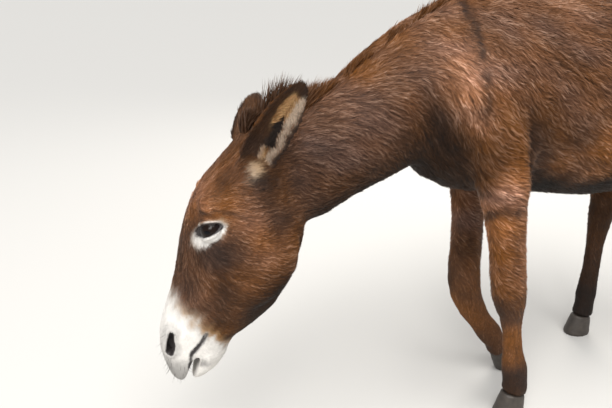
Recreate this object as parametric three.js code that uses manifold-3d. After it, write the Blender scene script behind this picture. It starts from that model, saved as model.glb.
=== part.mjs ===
// A life-size donkey that stands and lowers its head to graze, in millimetres, +Z up. It faces -X, so its
// left side is at -Y. The body is lofted from named sections, joined into one solid and then parted with
// thin cuts where a person would name its parts. All sections reach out to the tips of the coat.
import * as THREE from "three";
import { mergeVertices } from "three/addons/utils/BufferGeometryUtils.js";
import Module from "manifold-3d";

const wasm = await Module();
wasm.setup();

// ---- Driving dimensions -------------------------------------------------------------------------------
const WITHERS = 1050; // height of the withers over the floor
const KERF = 0.5; // gap left between neighbouring parts
const CLEAR = 1.008; // how much a part is swollen where it clears a space in its neighbour
const REACH = 3000; // side of a cutting block, larger than the animal
const SIDES = { left: -1, right: 1 }; // sign of y
const POLL = new THREE.Vector3(-557, -8, 779); // top of the head, between the ears
const HEAD_TURN = 15; // degrees that the head looks to its own right
const HEAD_LEAN = 15.2; // degrees that the line of the face slopes forward from hanging straight down
const EYE = { s: 186, out: 57, v: -31, radius: 22 }; // middle of each eyeball in the head's frame
const EAR = { half: 36, wall: 6, cup: 26, stub: 26 }; // half width, thickness, depth, length left on the head
const HOOF = { toe: 47, heel: 38, half: 35, height: 56, slope: 12, taper: 0.76, set: 10, flat: 3, sides: 14 };
// how many sides each round form has
const FACETS = {
  trunk: 26,
  skull: 22,
  neck: 20,
  leg: 14,
  tail: 12,
  eye: 12,
  lips: 12,
  form: 10,
  mane: 8,
  nostril: 8,
};
const COAT = {
  brown: 0x4a2f22,
  dark: 0x2b1d18,
  grey: 0x3b302c,
  pale: 0xd9d0c4,
  red: 0x6b3c22,
};

const rad = THREE.MathUtils.degToRad;
const lerp = THREE.MathUtils.lerp;

// ---- Lofting ------------------------------------------------------------------------------------------
function centreOf(ring) {
  const sum = ring.reduce((a, p) => a.add(p), new THREE.Vector3());
  return sum.divideScalar(ring.length);
}

// A closed surface through rings of equal count, with a fan on each end.
function closeRings(rings) {
  const n = rings[0].length;
  const ends = [centreOf(rings[0]), centreOf(rings[rings.length - 1])];
  const firstHub = rings.length * n;
  const lastRing = firstHub - n;
  const index = [];
  for (let i = 0; i < rings.length - 1; i++) {
    for (let j = 0; j < n; j++) {
      const a = i * n + j;
      const b = i * n + ((j + 1) % n);
      index.push(a, b, b + n, a, b + n, a + n);
    }
  }
  for (let j = 0; j < n; j++) {
    const next = (j + 1) % n;
    index.push(firstHub, next, j, firstHub + 1, lastRing + j, lastRing + next);
  }
  const geometry = new THREE.BufferGeometry().setFromPoints([...rings.flat(), ...ends]);
  geometry.setIndex(index);
  return geometry;
}

// One ring round a body section. (x, y, z) is its middle. turn is the direction of its front or upper
// reach, in degrees from up towards the head. ahead and behind are its reach that way and the other way,
// half its half width, and square and under how boxy the two sides are (1 is an ellipse).
function sectionRing([x, y, z, turn, ahead, behind, half, square, under], count, side) {
  const up = new THREE.Vector3(-Math.sin(rad(turn)), 0, Math.cos(rad(turn)));
  return Array.from({ length: count }, (_, j) => {
    const angle = (j / count) * Math.PI * 2;
    const rise = Math.sin(angle);
    const boxy = rise > 0 ? square : under;
    const swell = 1 + (boxy - 1) * Math.sin(2 * angle) ** 2;
    const point = new THREE.Vector3(x, y * side, z);
    point.addScaledVector(up, rise * swell * (rise > 0 ? ahead : behind));
    point.y += Math.cos(angle) * swell * half;
    return point;
  });
}

const loft = (rows, count, side = 1) => closeRings(rows.map((row) => sectionRing(row, count, side)));

// ---- Solids -------------------------------------------------------------------------------------------
function solidOf(geometry) {
  const plain = geometry.clone();
  plain.deleteAttribute("normal");
  plain.deleteAttribute("uv");
  const merged = mergeVertices(plain, 1e-3);
  const triVerts = new Uint32Array(merged.index.array);
  const vertProperties = merged.attributes.position.array;
  const made = new wasm.Manifold(new wasm.Mesh({ numProp: 3, vertProperties, triVerts }));
  if (made.volume() > 0) return made;
  return new wasm.Manifold(new wasm.Mesh({ numProp: 3, vertProperties, triVerts: triVerts.reverse() }));
}

function geometryOf(solid) {
  const mesh = solid.getMesh();
  const geometry = new THREE.BufferGeometry();
  geometry.setAttribute("position", new THREE.BufferAttribute(mesh.vertProperties, 3));
  geometry.setIndex(new THREE.BufferAttribute(mesh.triVerts, 1));
  geometry.computeVertexNormals();
  return geometry;
}

const join = (...solids) => solids.reduce((a, b) => a.add(b));
const clearOf = (solid, other) => {
  const middle = other.boundingBox().min.map((low, i) => (low + other.boundingBox().max[i]) / 2);
  const back = middle.map((value) => -value);
  return solid.subtract(other.translate(back).scale([CLEAR, CLEAR, CLEAR]).translate(middle));
};
const largest = (solid) => solid.decompose().reduce((a, b) => (a.volume() > b.volume() ? a : b));

function ellipsoid({ at, radii, lean = 0, roll = 0, frame }, across = 18) {
  const geometry = new THREE.SphereGeometry(1, across, Math.round(across * 0.6)).scale(...radii);
  geometry.rotateY(rad(lean)).rotateX(rad(roll)).translate(...at);
  return solidOf(frame ? geometry.applyMatrix4(frame) : geometry);
}

// A cutter is a function of how much it is grown. This one fills the far side of a plane through a point,
// whose normal is turned by pitch about Y from +X and then by roll about X.
const beyond = ({ at, pitch, roll = 0, frame }) => (grow) => {
  const geometry = new THREE.BoxGeometry(REACH, REACH, REACH).translate(REACH / 2 - grow, 0, 0);
  geometry.rotateY(rad(pitch)).rotateX(rad(roll)).translate(...at);
  return solidOf(frame ? geometry.applyMatrix4(frame) : geometry);
};

const within = (low, high) => (grow) => {
  const size = high.map((value, i) => value - low[i] + 2 * grow);
  const middle = high.map((value, i) => (value + low[i]) / 2);
  return solidOf(new THREE.BoxGeometry(...size).translate(...middle));
};

const both = (a, b) => (grow) => a(grow).intersect(b(grow));

// Parts a solid: what lies inside the cutter, and what is left outside it.
const part = (solid, cutter) => [largest(solid.intersect(cutter(0))), solid.subtract(cutter(KERF))];

// ---- Trunk --------------------------------------------------------------------------------------------
// x, top, bottom, half width, how boxy above and below
const TRUNK = [
  [-218, 790, 700, 40, 1, 1],
  [-204, 860, 668, 84, 1, 1],
  [-168, 944, 630, 118, 0.98, 1],
  [-110, 1014, 598, 142, 0.93, 1],
  [-50, 1046, 580, 154, 0.88, 1],
  [10, WITHERS, 572, 160, 0.86, 1],
  [80, 1042, 563, 170, 0.9, 1],
  [170, 1026, 546, 188, 0.94, 1.02],
  [280, 1012, 526, 204, 0.97, 1.02],
  [390, 1010, 520, 209, 0.98, 1.02],
  [490, 1020, 526, 203, 0.98, 1.02],
  [590, 1038, 552, 188, 0.98, 1],
  [680, 1044, 598, 176, 1, 1],
  [760, 1018, 652, 160, 1.02, 1],
  [820, 970, 708, 134, 1, 1],
  [856, 922, 764, 96, 1, 1],
  [872, 876, 816, 42, 1, 1],
];

function trunkSolid() {
  const rows = TRUNK.map(([x, top, bottom, half, square, under]) => {
    const middle = lerp(bottom, top, 0.48);
    return [x, 0, middle, 0, top - middle, middle - bottom, half, square, under];
  });
  return solidOf(loft(rows, FACETS.trunk));
}

// ---- Neck and mane ------------------------------------------------------------------------------------
// x, y and z of the middle, turn, reach to the crest and to the throat, half width, how boxy at the crest
const NECK = [
  [30, 0, 860, 6, 166, 190, 120, 0.86, 1],
  [-80, 0, 842, 18, 166, 188, 120, 0.84, 1],
  [-165, 0, 818, 28, 154, 166, 104, 0.84, 0.98],
  [-245, 0, 784, 31, 141, 138, 86, 0.84, 0.96],
  [-325, -2, 742, 31, 128, 124, 74, 0.85, 0.96],
  [-395, -4, 710, 30, 121, 113, 68, 0.87, 0.97],
  [-455, -6, 680, 27, 118, 108, 66, 0.9, 0.98],
  [-500, -8, 664, 22, 102, 98, 60, 0.95, 1],
  [-528, -8, 656, 18, 70, 70, 42, 1, 1],
];

// x and z of the root of the mane, its height and half width
const MANE = [
  [-40, 1026, 14, 3],
  [-90, 1010, 20, 6],
  [-160, 982, 22, 8],
  [-240, 940, 22, 9],
  [-320, 890, 18, 9],
  [-400, 842, 22, 9],
  [-465, 802, 48, 9],
  [-515, 774, 66, 9],
  [-548, 758, 56, 6],
];
const HEAD_CUT = { at: [-490, 0, 659], pitch: 163.8 }; // from behind the poll to the throat
const NECK_CUT = { at: [-140, 0, 840], pitch: 193.4 }; // from the crest to the breast, before the shoulder
const MANE_ROOT = 16; // how deep the mane stands in the crest of the neck

const neckSolid = () => solidOf(loft(NECK, FACETS.neck));

// A thin upright ridge of hair along the crest. Grown, it is the slot that the ridge stands in.
function maneSolid(grow) {
  const rows = MANE.map(([x, z, height, half]) => {
    const y = lerp(0, POLL.y, x / POLL.x);
    return [x, y, z, 30, height + grow, MANE_ROOT + grow, half + grow, 1.15, 1.15];
  });
  return solidOf(loft(rows, FACETS.mane));
}

// ---- Head ---------------------------------------------------------------------------------------------
// The head's own frame has its origin at the poll. s runs down the face, v from the face to the throat.
function headFrame() {
  const ahead = new THREE.Vector3(-Math.cos(rad(HEAD_TURN)), Math.sin(rad(HEAD_TURN)), 0);
  const down = new THREE.Vector3(0, 0, -1);
  const s = ahead.clone().multiplyScalar(Math.sin(rad(HEAD_LEAN)));
  s.addScaledVector(down, Math.cos(rad(HEAD_LEAN)));
  const v = down.clone().multiplyScalar(Math.sin(rad(HEAD_LEAN)));
  v.addScaledVector(ahead, -Math.cos(rad(HEAD_LEAN)));
  return new THREE.Matrix4().makeBasis(s, v.clone().cross(s), v).setPosition(POLL);
}
const FRAME = headFrame();

// s, v of the face, v of the jaw, half width, how boxy at the face and at the jaw
const FACE = [
  [-26, 34, 64, 22, 1, 1],
  [-6, 8, 86, 46, 1, 1],
  [26, -18, 104, 60, 1, 0.98],
  [66, -38, 122, 72, 1.02, 0.92],
  [108, -60, 140, 81, 1.04, 0.88],
  [150, -74, 150, 86, 1.05, 0.86],
  [196, -80, 154, 84, 1.02, 0.86],
  [250, -79, 152, 76, 0.98, 0.88],
  [300, -76, 145, 67, 0.95, 0.9],
  [345, -77, 128, 59, 0.95, 0.92],
  [385, -79, 96, 53, 0.98, 0.96],
  [420, -80, 64, 51, 1.02, 1],
  [455, -72, 60, 50, 1.05, 1.02],
  [485, -57, 46, 45, 1.04, 1.02],
  [508, -43, 22, 34, 1, 1],
  [522, -26, -6, 14, 1, 1],
];
const MUZZLE_CUT = { at: [389, 0, -11], pitch: 35, frame: FRAME }; // from the face line to behind the chin
const MOUTH_CUT = { at: [400, 0, 4], pitch: -94, frame: FRAME }; // along the line of the lips
const MOUTH_GAP = { at: [492, 0, -3], radii: [64, 70, 8], lean: 4, frame: FRAME };

// Rounded forms added to the head: the ridge over each eye, the cheek, and the rim of each nostril.
const headForms = (side) => [
  { at: [148, side * 47, -38], radii: [34, 25, 27], frame: FRAME },
  { at: [250, side * 38, 74], radii: [100, 34, 68], lean: 20, frame: FRAME },
  { at: [428, side * 28, -50], radii: [38, 20, 25], lean: -8, frame: FRAME },
];
const nostril = (side) => ({ at: [430, side * 48, -57], radii: [21, 12, 9], lean: -12, frame: FRAME });
const eyeball = (side, grow) => ({
  at: [EYE.s, side * EYE.out, EYE.v],
  radii: Array(3).fill(EYE.radius + grow),
  frame: FRAME,
});

function headSolid() {
  const rows = FACE.map(([s, face, jaw, half, square, under]) => {
    const middle = lerp(face, jaw, 0.42);
    return [s, 0, middle, 180, middle - face, jaw - middle, half, square, under];
  });
  const skull = solidOf(loft(rows, FACETS.skull).applyMatrix4(FRAME));
  const forms = Object.values(SIDES).flatMap(headForms);
  return join(skull, ...forms.map((form) => ellipsoid(form, FACETS.form)));
}

// ---- Ears ---------------------------------------------------------------------------------------------
// Where each ear stands in the head's frame, where its tip is, and where its open side faces.
const EARS = {
  left: { base: [66, -50, 8], tip: [-102, -135, 42], open: [0.15, -1, 0.05] },
  right: { base: [66, 50, 14], tip: [-32, 184, 34], open: [0.9, 0.2, -0.3] },
};
// share of the length, half width, depth of the roll and of the hollow, as shares of the full ones
const EAR_SHAPE = [
  [-0.06, 0.78, 0.9, 0.08],
  [0.1, 0.93, 1.0, 0.35],
  [0.24, 1.0, 0.96, 0.9],
  [0.4, 1.03, 0.84, 1],
  [0.56, 1.0, 0.7, 1],
  [0.71, 0.9, 0.58, 1],
  [0.84, 0.72, 0.46, 1],
  [0.94, 0.48, 0.36, 0.9],
  [1, 0.24, 0.26, 0.6],
];
const EAR_ARC = 9; // points along the back of an ear's section

// A leaf rolled round its long axis: each ring goes along its back and returns through its hollow.
function earSolid({ base, tip, open }) {
  const root = new THREE.Vector3(...base);
  const reach = new THREE.Vector3(...tip).sub(root);
  const axis = reach.clone().normalize();
  const facing = new THREE.Vector3(...open);
  facing.addScaledVector(axis, -axis.dot(facing)).normalize();
  const across = axis.clone().cross(facing);
  const angles = Array.from({ length: EAR_ARC }, (_, i) => (i / (EAR_ARC - 1)) * Math.PI);
  const rings = EAR_SHAPE.map(([share, wide, roll, hollow]) => {
    const half = EAR.half * wide;
    const deep = EAR.cup * roll;
    const middle = root.clone().addScaledVector(reach, share);
    const at = (angle, w, d) => {
      const point = middle.clone().addScaledVector(across, Math.cos(angle) * w);
      return point.addScaledVector(facing, deep * 0.5 - Math.sin(angle) * d);
    };
    const bowl = Math.max(deep - EAR.wall, 1) * hollow;
    const back = angles.map((angle) => at(angle, half, deep));
    const inner = angles.slice(1, -1).reverse();
    return [...back, ...inner.map((angle) => at(angle, Math.max(half - EAR.wall, 1), bowl))];
  });
  return solidOf(closeRings(rings).applyMatrix4(FRAME));
}

// Fills what lies up the ear from where its free part begins.
const earPlane = ({ base, tip }) => (grow) => {
  const root = new THREE.Vector3(...base);
  const axis = new THREE.Vector3(...tip).sub(root).normalize();
  const turn = new THREE.Quaternion().setFromUnitVectors(new THREE.Vector3(1, 0, 0), axis);
  const start = root.addScaledVector(axis, EAR.stub - grow);
  const geometry = new THREE.BoxGeometry(REACH, REACH, REACH).translate(REACH / 2, 0, 0);
  geometry.applyQuaternion(turn).translate(start.x, start.y, start.z);
  return solidOf(geometry.applyMatrix4(FRAME));
};

// ---- Legs ---------------------------------------------------------------------------------------------
// x, y and z of the middle, turn, reach to the front and to the back, half width
const FORE_STRAIGHT = [
  [-60, 92, 830, 90, 80, 80, 34],
  [-46, 104, 730, 92, 94, 86, 54],
  [-26, 106, 640, 96, 80, 54, 54],
  [-8, 105, 560, 98, 60, 40, 43],
  [10, 103, 480, 100, 52, 40, 36],
  [24, 101, 400, 101, 51, 45, 34],
  [34, 100, 355, 101, 49, 44, 35],
  [43, 99, 318, 98, 43, 38, 35],
  [52, 98, 282, 96, 31, 28, 27],
  [63, 97, 230, 96, 25, 25, 22],
  [74, 96, 175, 96, 28, 28, 24],
  [84, 96, 132, 94, 34, 38, 30],
  [90, 96, 102, 90, 31, 38, 29],
  [96, 96, 74, 86, 34, 36, 30],
  [96, 96, 40, 86, 35, 32, 29],
];
const FORE_BENT = [
  [-10, 92, 830, 90, 80, 80, 34],
  [12, 100, 730, 90, 90, 90, 52],
  [42, 100, 640, 92, 66, 78, 52],
  [58, 96, 560, 92, 46, 62, 43],
  [64, 92, 480, 90, 44, 50, 35],
  [66, 89, 400, 90, 46, 50, 33],
  [64, 87, 350, 90, 46, 49, 34],
  [68, 85, 302, 98, 50, 47, 37],
  [75, 81, 258, 112, 46, 44, 35],
  [91, 74, 216, 122, 39, 41, 28],
  [119, 67, 172, 122, 33, 34, 23],
  [150, 60, 130, 116, 36, 37, 29],
  [170, 57, 102, 104, 34, 34, 29],
  [184, 55, 78, 86, 34, 34, 30],
  [187, 55, 50, 70, 35, 32, 29],
];
const HIND = [
  [690, 70, 900, 90, 130, 110, 50],
  [690, 88, 820, 90, 160, 128, 76],
  [700, 104, 720, 90, 152, 138, 80],
  [700, 112, 630, 92, 128, 112, 70],
  [722, 108, 555, 100, 92, 82, 54],
  [762, 103, 485, 106, 60, 62, 40],
  [792, 100, 430, 102, 48, 54, 33],
  [806, 99, 388, 94, 46, 52, 34],
  [806, 98, 345, 90, 40, 42, 30],
  [806, 97, 290, 90, 30, 34, 23],
  [805, 96, 220, 90, 27, 31, 21],
  [804, 96, 166, 92, 29, 32, 24],
  [802, 96, 130, 92, 34, 38, 30],
  [799, 96, 100, 88, 31, 34, 29],
  [796, 96, 72, 84, 34, 35, 30],
  [794, 96, 40, 84, 35, 32, 29],
];
const HIND_FORWARD = [
  [688, 70, 900, 90, 130, 110, 50],
  [674, 88, 820, 90, 158, 130, 76],
  [660, 104, 720, 90, 146, 140, 80],
  [644, 110, 630, 92, 114, 118, 68],
  [628, 108, 555, 98, 86, 90, 52],
  [612, 103, 485, 101, 62, 64, 40],
  [602, 100, 430, 100, 48, 56, 34],
  [593, 98, 388, 94, 40, 48, 34],
  [588, 97, 345, 90, 32, 40, 29],
  [585, 96, 290, 90, 29, 34, 23],
  [584, 95, 220, 90, 28, 33, 22],
  [580, 94, 166, 91, 31, 36, 25],
  [578, 94, 130, 91, 32, 38, 29],
  [578, 94, 100, 88, 29, 34, 28],
  [577, 94, 72, 84, 33, 35, 29],
  [575, 94, 40, 84, 35, 32, 29],
];
const SHIN = 500; // height under which a leg may swing clear of its place under the trunk
const STRIDE = 90; // how far it may swing
const KNEE = 362; // height where the forearm ends
const RIBS = 140; // x where the chest ends and the barrel begins
const LOIN = 576; // x where the barrel ends and the hindquarters begin
const HOCK = 452; // height where the thigh and gaskin end

const legSolid = (rows, side) =>
  solidOf(
    loft(
      rows.map((row) => [...row, 1, 1]),
      FACETS.leg,
      side,
    ),
  );

// Parts a leg from the trunk: a plane that rises outward from the armpit or groin, within a stretch of x.
const legCutter = ({ rise, inner, low, front, back }, side) => {
  const outside = side < 0 ? [-REACH, 0] : [0, REACH];
  const thigh = within([front, outside[0], -REACH], [back, outside[1], WITHERS]);
  const shin = within([front - STRIDE, outside[0], -REACH], [back + STRIDE, outside[1], SHIN]);
  const span = (grow) => join(thigh(grow), shin(grow));
  return both(beyond({ at: [0, side * inner, low], pitch: 90, roll: side * rise }), span);
};

const LEGS = {
  fore_left: {
    solid: legSolid(FORE_STRAIGHT, SIDES.left),
    root: legCutter({ rise: 35, inner: 48, low: 562, front: -150, back: 105 }, SIDES.left),
    upper: "forearm_left",
    joint: KNEE,
    hoof: { x: 86, y: -96, tip: 0 },
  },
  fore_right: {
    solid: legSolid(FORE_BENT, SIDES.right),
    root: legCutter({ rise: 35, inner: 48, low: 562, front: -110, back: 150 }, SIDES.right),
    upper: "forearm_right",
    joint: KNEE,
    hoof: { x: 229, y: 55, tip: 45 },
  },
  hind_left: {
    solid: legSolid(HIND, SIDES.left),
    root: legCutter({ rise: 42, inner: 60, low: 600, front: LOIN, back: 900 }, SIDES.left),
    upper: "thigh_left",
    joint: HOCK,
    hoof: { x: 784, y: -96, tip: 0 },
  },
  hind_right: {
    solid: legSolid(HIND_FORWARD, SIDES.right),
    root: legCutter({ rise: 42, inner: 60, low: 600, front: 530, back: 900 }, SIDES.right),
    upper: "thigh_right",
    joint: HOCK,
    hoof: { x: 566, y: 94, tip: 0 },
  },
};

// ---- Hooves -------------------------------------------------------------------------------------------
// A hoof on z = 0 with its middle at the origin: flat below, slanted at the toe, narrower at the heels.
function hoofSolid() {
  const slope = Math.tan(rad(HOOF.slope));
  const outline = (size, z, set, share) =>
    Array.from({ length: HOOF.sides }, (_, j) => {
      const angle = (j / HOOF.sides) * Math.PI * 2;
      const reach = Math.cos(angle) > 0 ? HOOF.toe : HOOF.heel;
      const x = -Math.cos(angle) * reach * size;
      return new THREE.Vector3(x + set, Math.sin(angle) * HOOF.half * size, z - slope * share * x);
    });
  return solidOf(
    closeRings([
      outline(0.96, 0, 0, 0),
      outline(1, 4, 0, 0),
      outline(lerp(1, HOOF.taper, 0.5), HOOF.height * 0.5, HOOF.set * 0.4, 0.5),
      outline(HOOF.taper, HOOF.height, HOOF.set, 1),
    ]),
  );
}

// Tips a hoof onto its toe and lowers it until a small flat of the toe meets the floor. coronet is the
// plane in which the hoof ends and the pastern begins.
function placeHoof({ x, y, tip }) {
  const tipped = hoofSolid().rotate([0, -tip, 0]);
  const lift = tip === 0 ? 0 : -tipped.boundingBox().min[2] - HOOF.flat;
  const above = within([-REACH, -REACH, 0], [REACH, REACH, REACH]);
  const solid = tipped.translate([x, y, lift]).intersect(above(0));
  const top = new THREE.Vector3(HOOF.set, 0, HOOF.height);
  top.applyAxisAngle(new THREE.Vector3(0, 1, 0), rad(-tip));
  const coronet = beyond({ at: [x + top.x, y, lift + top.z], pitch: 90 + HOOF.slope - tip });
  return { solid, coronet };
}

// ---- Tail ---------------------------------------------------------------------------------------------
const TAIL = [
  [812, 0, 944, -15, 26, 34, 30],
  [862, 0, 924, -38, 27, 30, 27],
  [896, 0, 876, -66, 25, 26, 25],
  [911, 0, 805, -84, 22, 22, 23],
  [916, 0, 720, -90, 19, 19, 20],
  [916, 0, 650, -90, 20, 20, 22],
  [914, 0, 580, -91, 25, 25, 27],
  [910, 0, 500, -93, 27, 27, 29],
  [904, 0, 430, -95, 22, 22, 24],
  [898, 0, 378, -96, 13, 13, 14],
  [895, 0, 350, -96, 3, 3, 3],
];
const TAIL_HEAD = 874; // x where the tail leaves the croup
const SWITCH = 640; // height where the long hair of the tail begins

const tailSolid = () => solidOf(loft(TAIL.map((row) => [...row, 1, 1]), FACETS.tail));

// ---- Parting the whole animal -------------------------------------------------------------------------
const pieces = {};
const take = (name, solid, color = COAT.brown, roughness = 0.9) => {
  pieces[name] = { solid, color, roughness };
};

const skull = headSolid();
const nape = neckSolid();
const ears = {};
const stubs = [];
for (const [side, ear] of Object.entries(EARS)) {
  const [free, stub] = part(earSolid(ear), earPlane(ear));
  ears[side] = largest(clearOf(clearOf(free, skull), nape));
  stubs.push(stub);
}
const legs = Object.values(LEGS).map((one) => one.solid);
let body = join(trunkSolid(), nape, skull, ...stubs, ...legs, tailSolid());
body = body.subtract(maneSolid(KERF));

const cutOff = (cutter) => {
  const [inside, outside] = part(body, cutter);
  body = outside;
  return inside;
};

// Tail
const tail = cutOff(beyond({ at: [TAIL_HEAD, 0, 0], pitch: 0 }));
const [tailEnd, dock] = part(tail, beyond({ at: [0, 0, SWITCH], pitch: 90 }));
take("tail_dock", dock, COAT.dark);
take("tail_switch", tailEnd, COAT.red);

// Head, with the eyes in their sockets
let head = cutOff(beyond(HEAD_CUT));
for (const [name, side] of Object.entries(SIDES)) {
  head = head.subtract(ellipsoid(eyeball(side, KERF), FACETS.eye));
  head = head.subtract(ellipsoid(nostril(side), FACETS.nostril));
  take(`eye_${name}`, ellipsoid(eyeball(side, 0), FACETS.eye), COAT.dark, 0.1);
  take(`ear_${name}`, ears[name], COAT.dark);
}
const [muzzle, face] = part(head.subtract(ellipsoid(MOUTH_GAP, FACETS.lips)), beyond(MUZZLE_CUT));
const [chin, upperLip] = part(muzzle, beyond(MOUTH_CUT));
take("head", largest(face));
take("muzzle", largest(upperLip), COAT.pale);
take("chin", chin, COAT.pale);

// Neck and mane
take("neck", cutOff(beyond(NECK_CUT)));
take("mane", maneSolid(0), COAT.dark);

// Legs
for (const [name, { root, upper, joint, hoof }] of Object.entries(LEGS)) {
  const [lower, thick] = part(cutOff(root), beyond({ at: [0, 0, joint], pitch: 90 }));
  const { solid, coronet } = placeHoof(hoof);
  take(upper, largest(thick));
  take(`cannon_${name}`, largest(lower.subtract(coronet(KERF))), COAT.grey);
  take(`hoof_${name}`, solid, COAT.dark, 0.6);
}

// Trunk
take("hindquarters", cutOff(beyond({ at: [LOIN, 0, 0], pitch: 0 })));
take("barrel", cutOff(beyond({ at: [RIBS, 0, 0], pitch: 0 })));
take("chest", largest(body));

// ---- Assembly -----------------------------------------------------------------------------------------
const root = new THREE.Group();
const box = new THREE.Box3();
for (const [name, { solid, color, roughness }] of Object.entries(pieces)) {
  const mesh = new THREE.Mesh(geometryOf(solid), new THREE.MeshStandardMaterial({ color, roughness }));
  mesh.name = name;
  root.add(mesh);
  box.union(new THREE.Box3().setFromObject(mesh));
}
const middle = box.getCenter(new THREE.Vector3());
root.position.set(-middle.x, -middle.y, -box.min.z);

export default root;
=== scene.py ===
# A brown donkey that lowers its head to graze, as a life-size museum model. One skin lies inside the solids
# by the depth of the coat. Tufts of fur, the mane, the hair of ears and tail, eyes and hooves lie on it.
# All places are in metres, in the frame of the solids: the donkey faces -X and its left side is at -Y.
import math

import bmesh
import bpy
import numpy as np
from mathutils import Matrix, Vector
from mathutils.bvhtree import BVHTree
from mathutils.kdtree import KDTree


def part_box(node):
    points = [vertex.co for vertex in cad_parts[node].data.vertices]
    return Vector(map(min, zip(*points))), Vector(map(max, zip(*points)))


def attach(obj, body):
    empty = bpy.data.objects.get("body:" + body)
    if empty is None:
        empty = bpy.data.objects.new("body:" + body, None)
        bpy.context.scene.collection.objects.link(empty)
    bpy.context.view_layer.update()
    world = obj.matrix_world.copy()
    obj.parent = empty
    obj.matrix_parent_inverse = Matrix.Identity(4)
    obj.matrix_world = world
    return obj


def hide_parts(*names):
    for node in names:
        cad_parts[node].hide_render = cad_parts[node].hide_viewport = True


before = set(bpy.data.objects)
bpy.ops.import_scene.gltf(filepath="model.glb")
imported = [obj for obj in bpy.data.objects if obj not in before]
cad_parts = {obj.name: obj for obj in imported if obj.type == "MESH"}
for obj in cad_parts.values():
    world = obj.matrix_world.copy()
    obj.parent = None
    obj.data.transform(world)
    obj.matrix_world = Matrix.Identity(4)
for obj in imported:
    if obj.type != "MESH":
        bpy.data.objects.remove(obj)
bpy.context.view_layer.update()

# ---- Driving values -----------------------------------------------------------------------------------
MM = 0.001
SIDES = {"left": -1.0, "right": 1.0}  # sign of y
POLL = np.array([-0.6548, -0.008, 0.779])  # top of the head, between the ears
HEAD_TURN = math.radians(15)  # how far the head looks to its own right
HEAD_LEAN = math.radians(15.2)  # slope of the face line, forward from hanging straight down
SKIN_VOXEL = 3.6 * MM
SKIN_TRIANGLES = 118000  # before the eyes, nostrils and mouth are cut finer
EYE_RADIUS = 22 * MM

# For each part: the depth of its coat in millimetres and how strongly its facets are smoothed away. Then for
# its tufts: length and width in millimetres, how far they stand out, and how closely they stand.
# A name that ends in _ is a part on the left and one on the right.
COAT_BY_PART = {
    "head": (2.6, 0.30, 10.0, 0.85, 1.7, 1.3),
    "muzzle": (1.6, 0.16, 5.0, 0.8, 1.2, 1.5),
    "chin": (1.6, 0.16, 6.0, 0.8, 1.4, 1.5),
    "ear_left": (0.3, 0.016, 7.0, 0.8, 1.3, 1.6),
    "ear_right": (0.3, 0.016, 12.0, 0.9, 2.6, 1.6),
    "neck": (4.5, 0.85, 14.0, 1.15, 2.6, 1.0),
    "chest": (5.0, 0.95, 19.0, 1.3, 3.6, 1.0),
    "barrel": (5.0, 1.0, 20.0, 1.45, 4.0, 1.0),
    "hindquarters": (5.0, 1.0, 19.0, 1.45, 3.8, 1.0),
    "tail_dock": (4.0, 0.3, 20.0, 1.4, 4.0, 1.4),
    "forearm_": (3.6, 0.5, 14.0, 1.1, 2.6, 1.0),
    "thigh_": (4.0, 0.7, 15.0, 1.2, 2.8, 1.0),
    "cannon_fore_": (2.2, 0.22, 10.0, 0.95, 1.8, 1.2),
    "cannon_hind_": (2.2, 0.25, 10.0, 0.95, 1.8, 1.2),
    "eye_": (0.0, 0.1, 5.0, 0.7, 0.9, 2.0),
}


def both_sides(name):
    """The names of the parts that a name in a table stands for."""
    return [name + side for side in SIDES] if name.endswith("_") else [name]


PARTS = [part for name in COAT_BY_PART for part in both_sides(name)]
PART_NAMES = np.array(PARTS)
COAT_DEPTH, SMOOTHING, LENGTH, WIDTH, RISE, CLOSENESS = np.array(
    [row for name, row in COAT_BY_PART.items() for part in both_sides(name)]
).T
TRUNK = ["chest", "barrel", "hindquarters", "neck"]


# ---- The head's own frame -----------------------------------------------------------------------------
def head_axes():
    """Unit directions down the face, to the donkey's right, and from the face to the throat."""
    ahead = np.array([-math.cos(HEAD_TURN), math.sin(HEAD_TURN), 0.0])
    down = np.array([0.0, 0.0, -1.0])
    along = ahead * math.sin(HEAD_LEAN) + down * math.cos(HEAD_LEAN)
    throat = down * math.sin(HEAD_LEAN) - ahead * math.cos(HEAD_LEAN)
    return np.array([along, np.cross(throat, along), throat])


HEAD_AXES = head_axes()


def from_head(places):
    """Points of the frame from places on the head: millimetres down the face, across and to the throat."""
    return POLL + (np.asarray(places) * MM) @ HEAD_AXES


def head_places(points):
    """The reverse of from_head."""
    return (points - POLL) @ HEAD_AXES.T / MM


# ---- Numbers over a mesh ------------------------------------------------------------------------------
def rows_from(collection, key, kind=np.float32, width=3):
    out = np.zeros(len(collection) * width, kind)
    collection.foreach_get(key, out)
    return out.reshape(-1, width)


def points_of(mesh):
    return rows_from(mesh.vertices, "co").astype(float)


def normals_of(mesh):
    return rows_from(mesh.vertex_normals, "vector").astype(float)


def triangles_of(mesh):
    mesh.calc_loop_triangles()
    return rows_from(mesh.loop_triangles, "vertices", np.int32)


def move_points(mesh, points):
    mesh.vertices.foreach_set("co", points.astype(np.float32).ravel())
    mesh.update()


def neighbours_of(mesh, most=8):
    """For each point, its neighbours, filled up with the point itself."""
    edges = rows_from(mesh.edges, "vertices", np.int32, 2)
    both = np.concatenate([edges, edges[:, ::-1]])
    both = both[np.argsort(both[:, 0], kind="stable")]
    count = len(mesh.vertices)
    first = np.searchsorted(both[:, 0], np.arange(count))
    rank = np.arange(len(both)) - first[both[:, 0]]
    table = np.repeat(np.arange(count)[:, None], most, 1)
    kept = rank < most
    table[both[kept, 0], rank[kept]] = both[kept, 1]
    return table


def relax(values, table, weight, rounds):
    """Moves each value towards the mean of its neighbours, as far as its weight says."""
    share = weight if values.ndim == 1 else weight[:, None]
    values = values.astype(np.float32)
    share = share.astype(np.float32)
    for _ in range(rounds):
        mean = values[table].mean(1)
        values = values + share * (mean - values)
    return values.astype(float)


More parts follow.
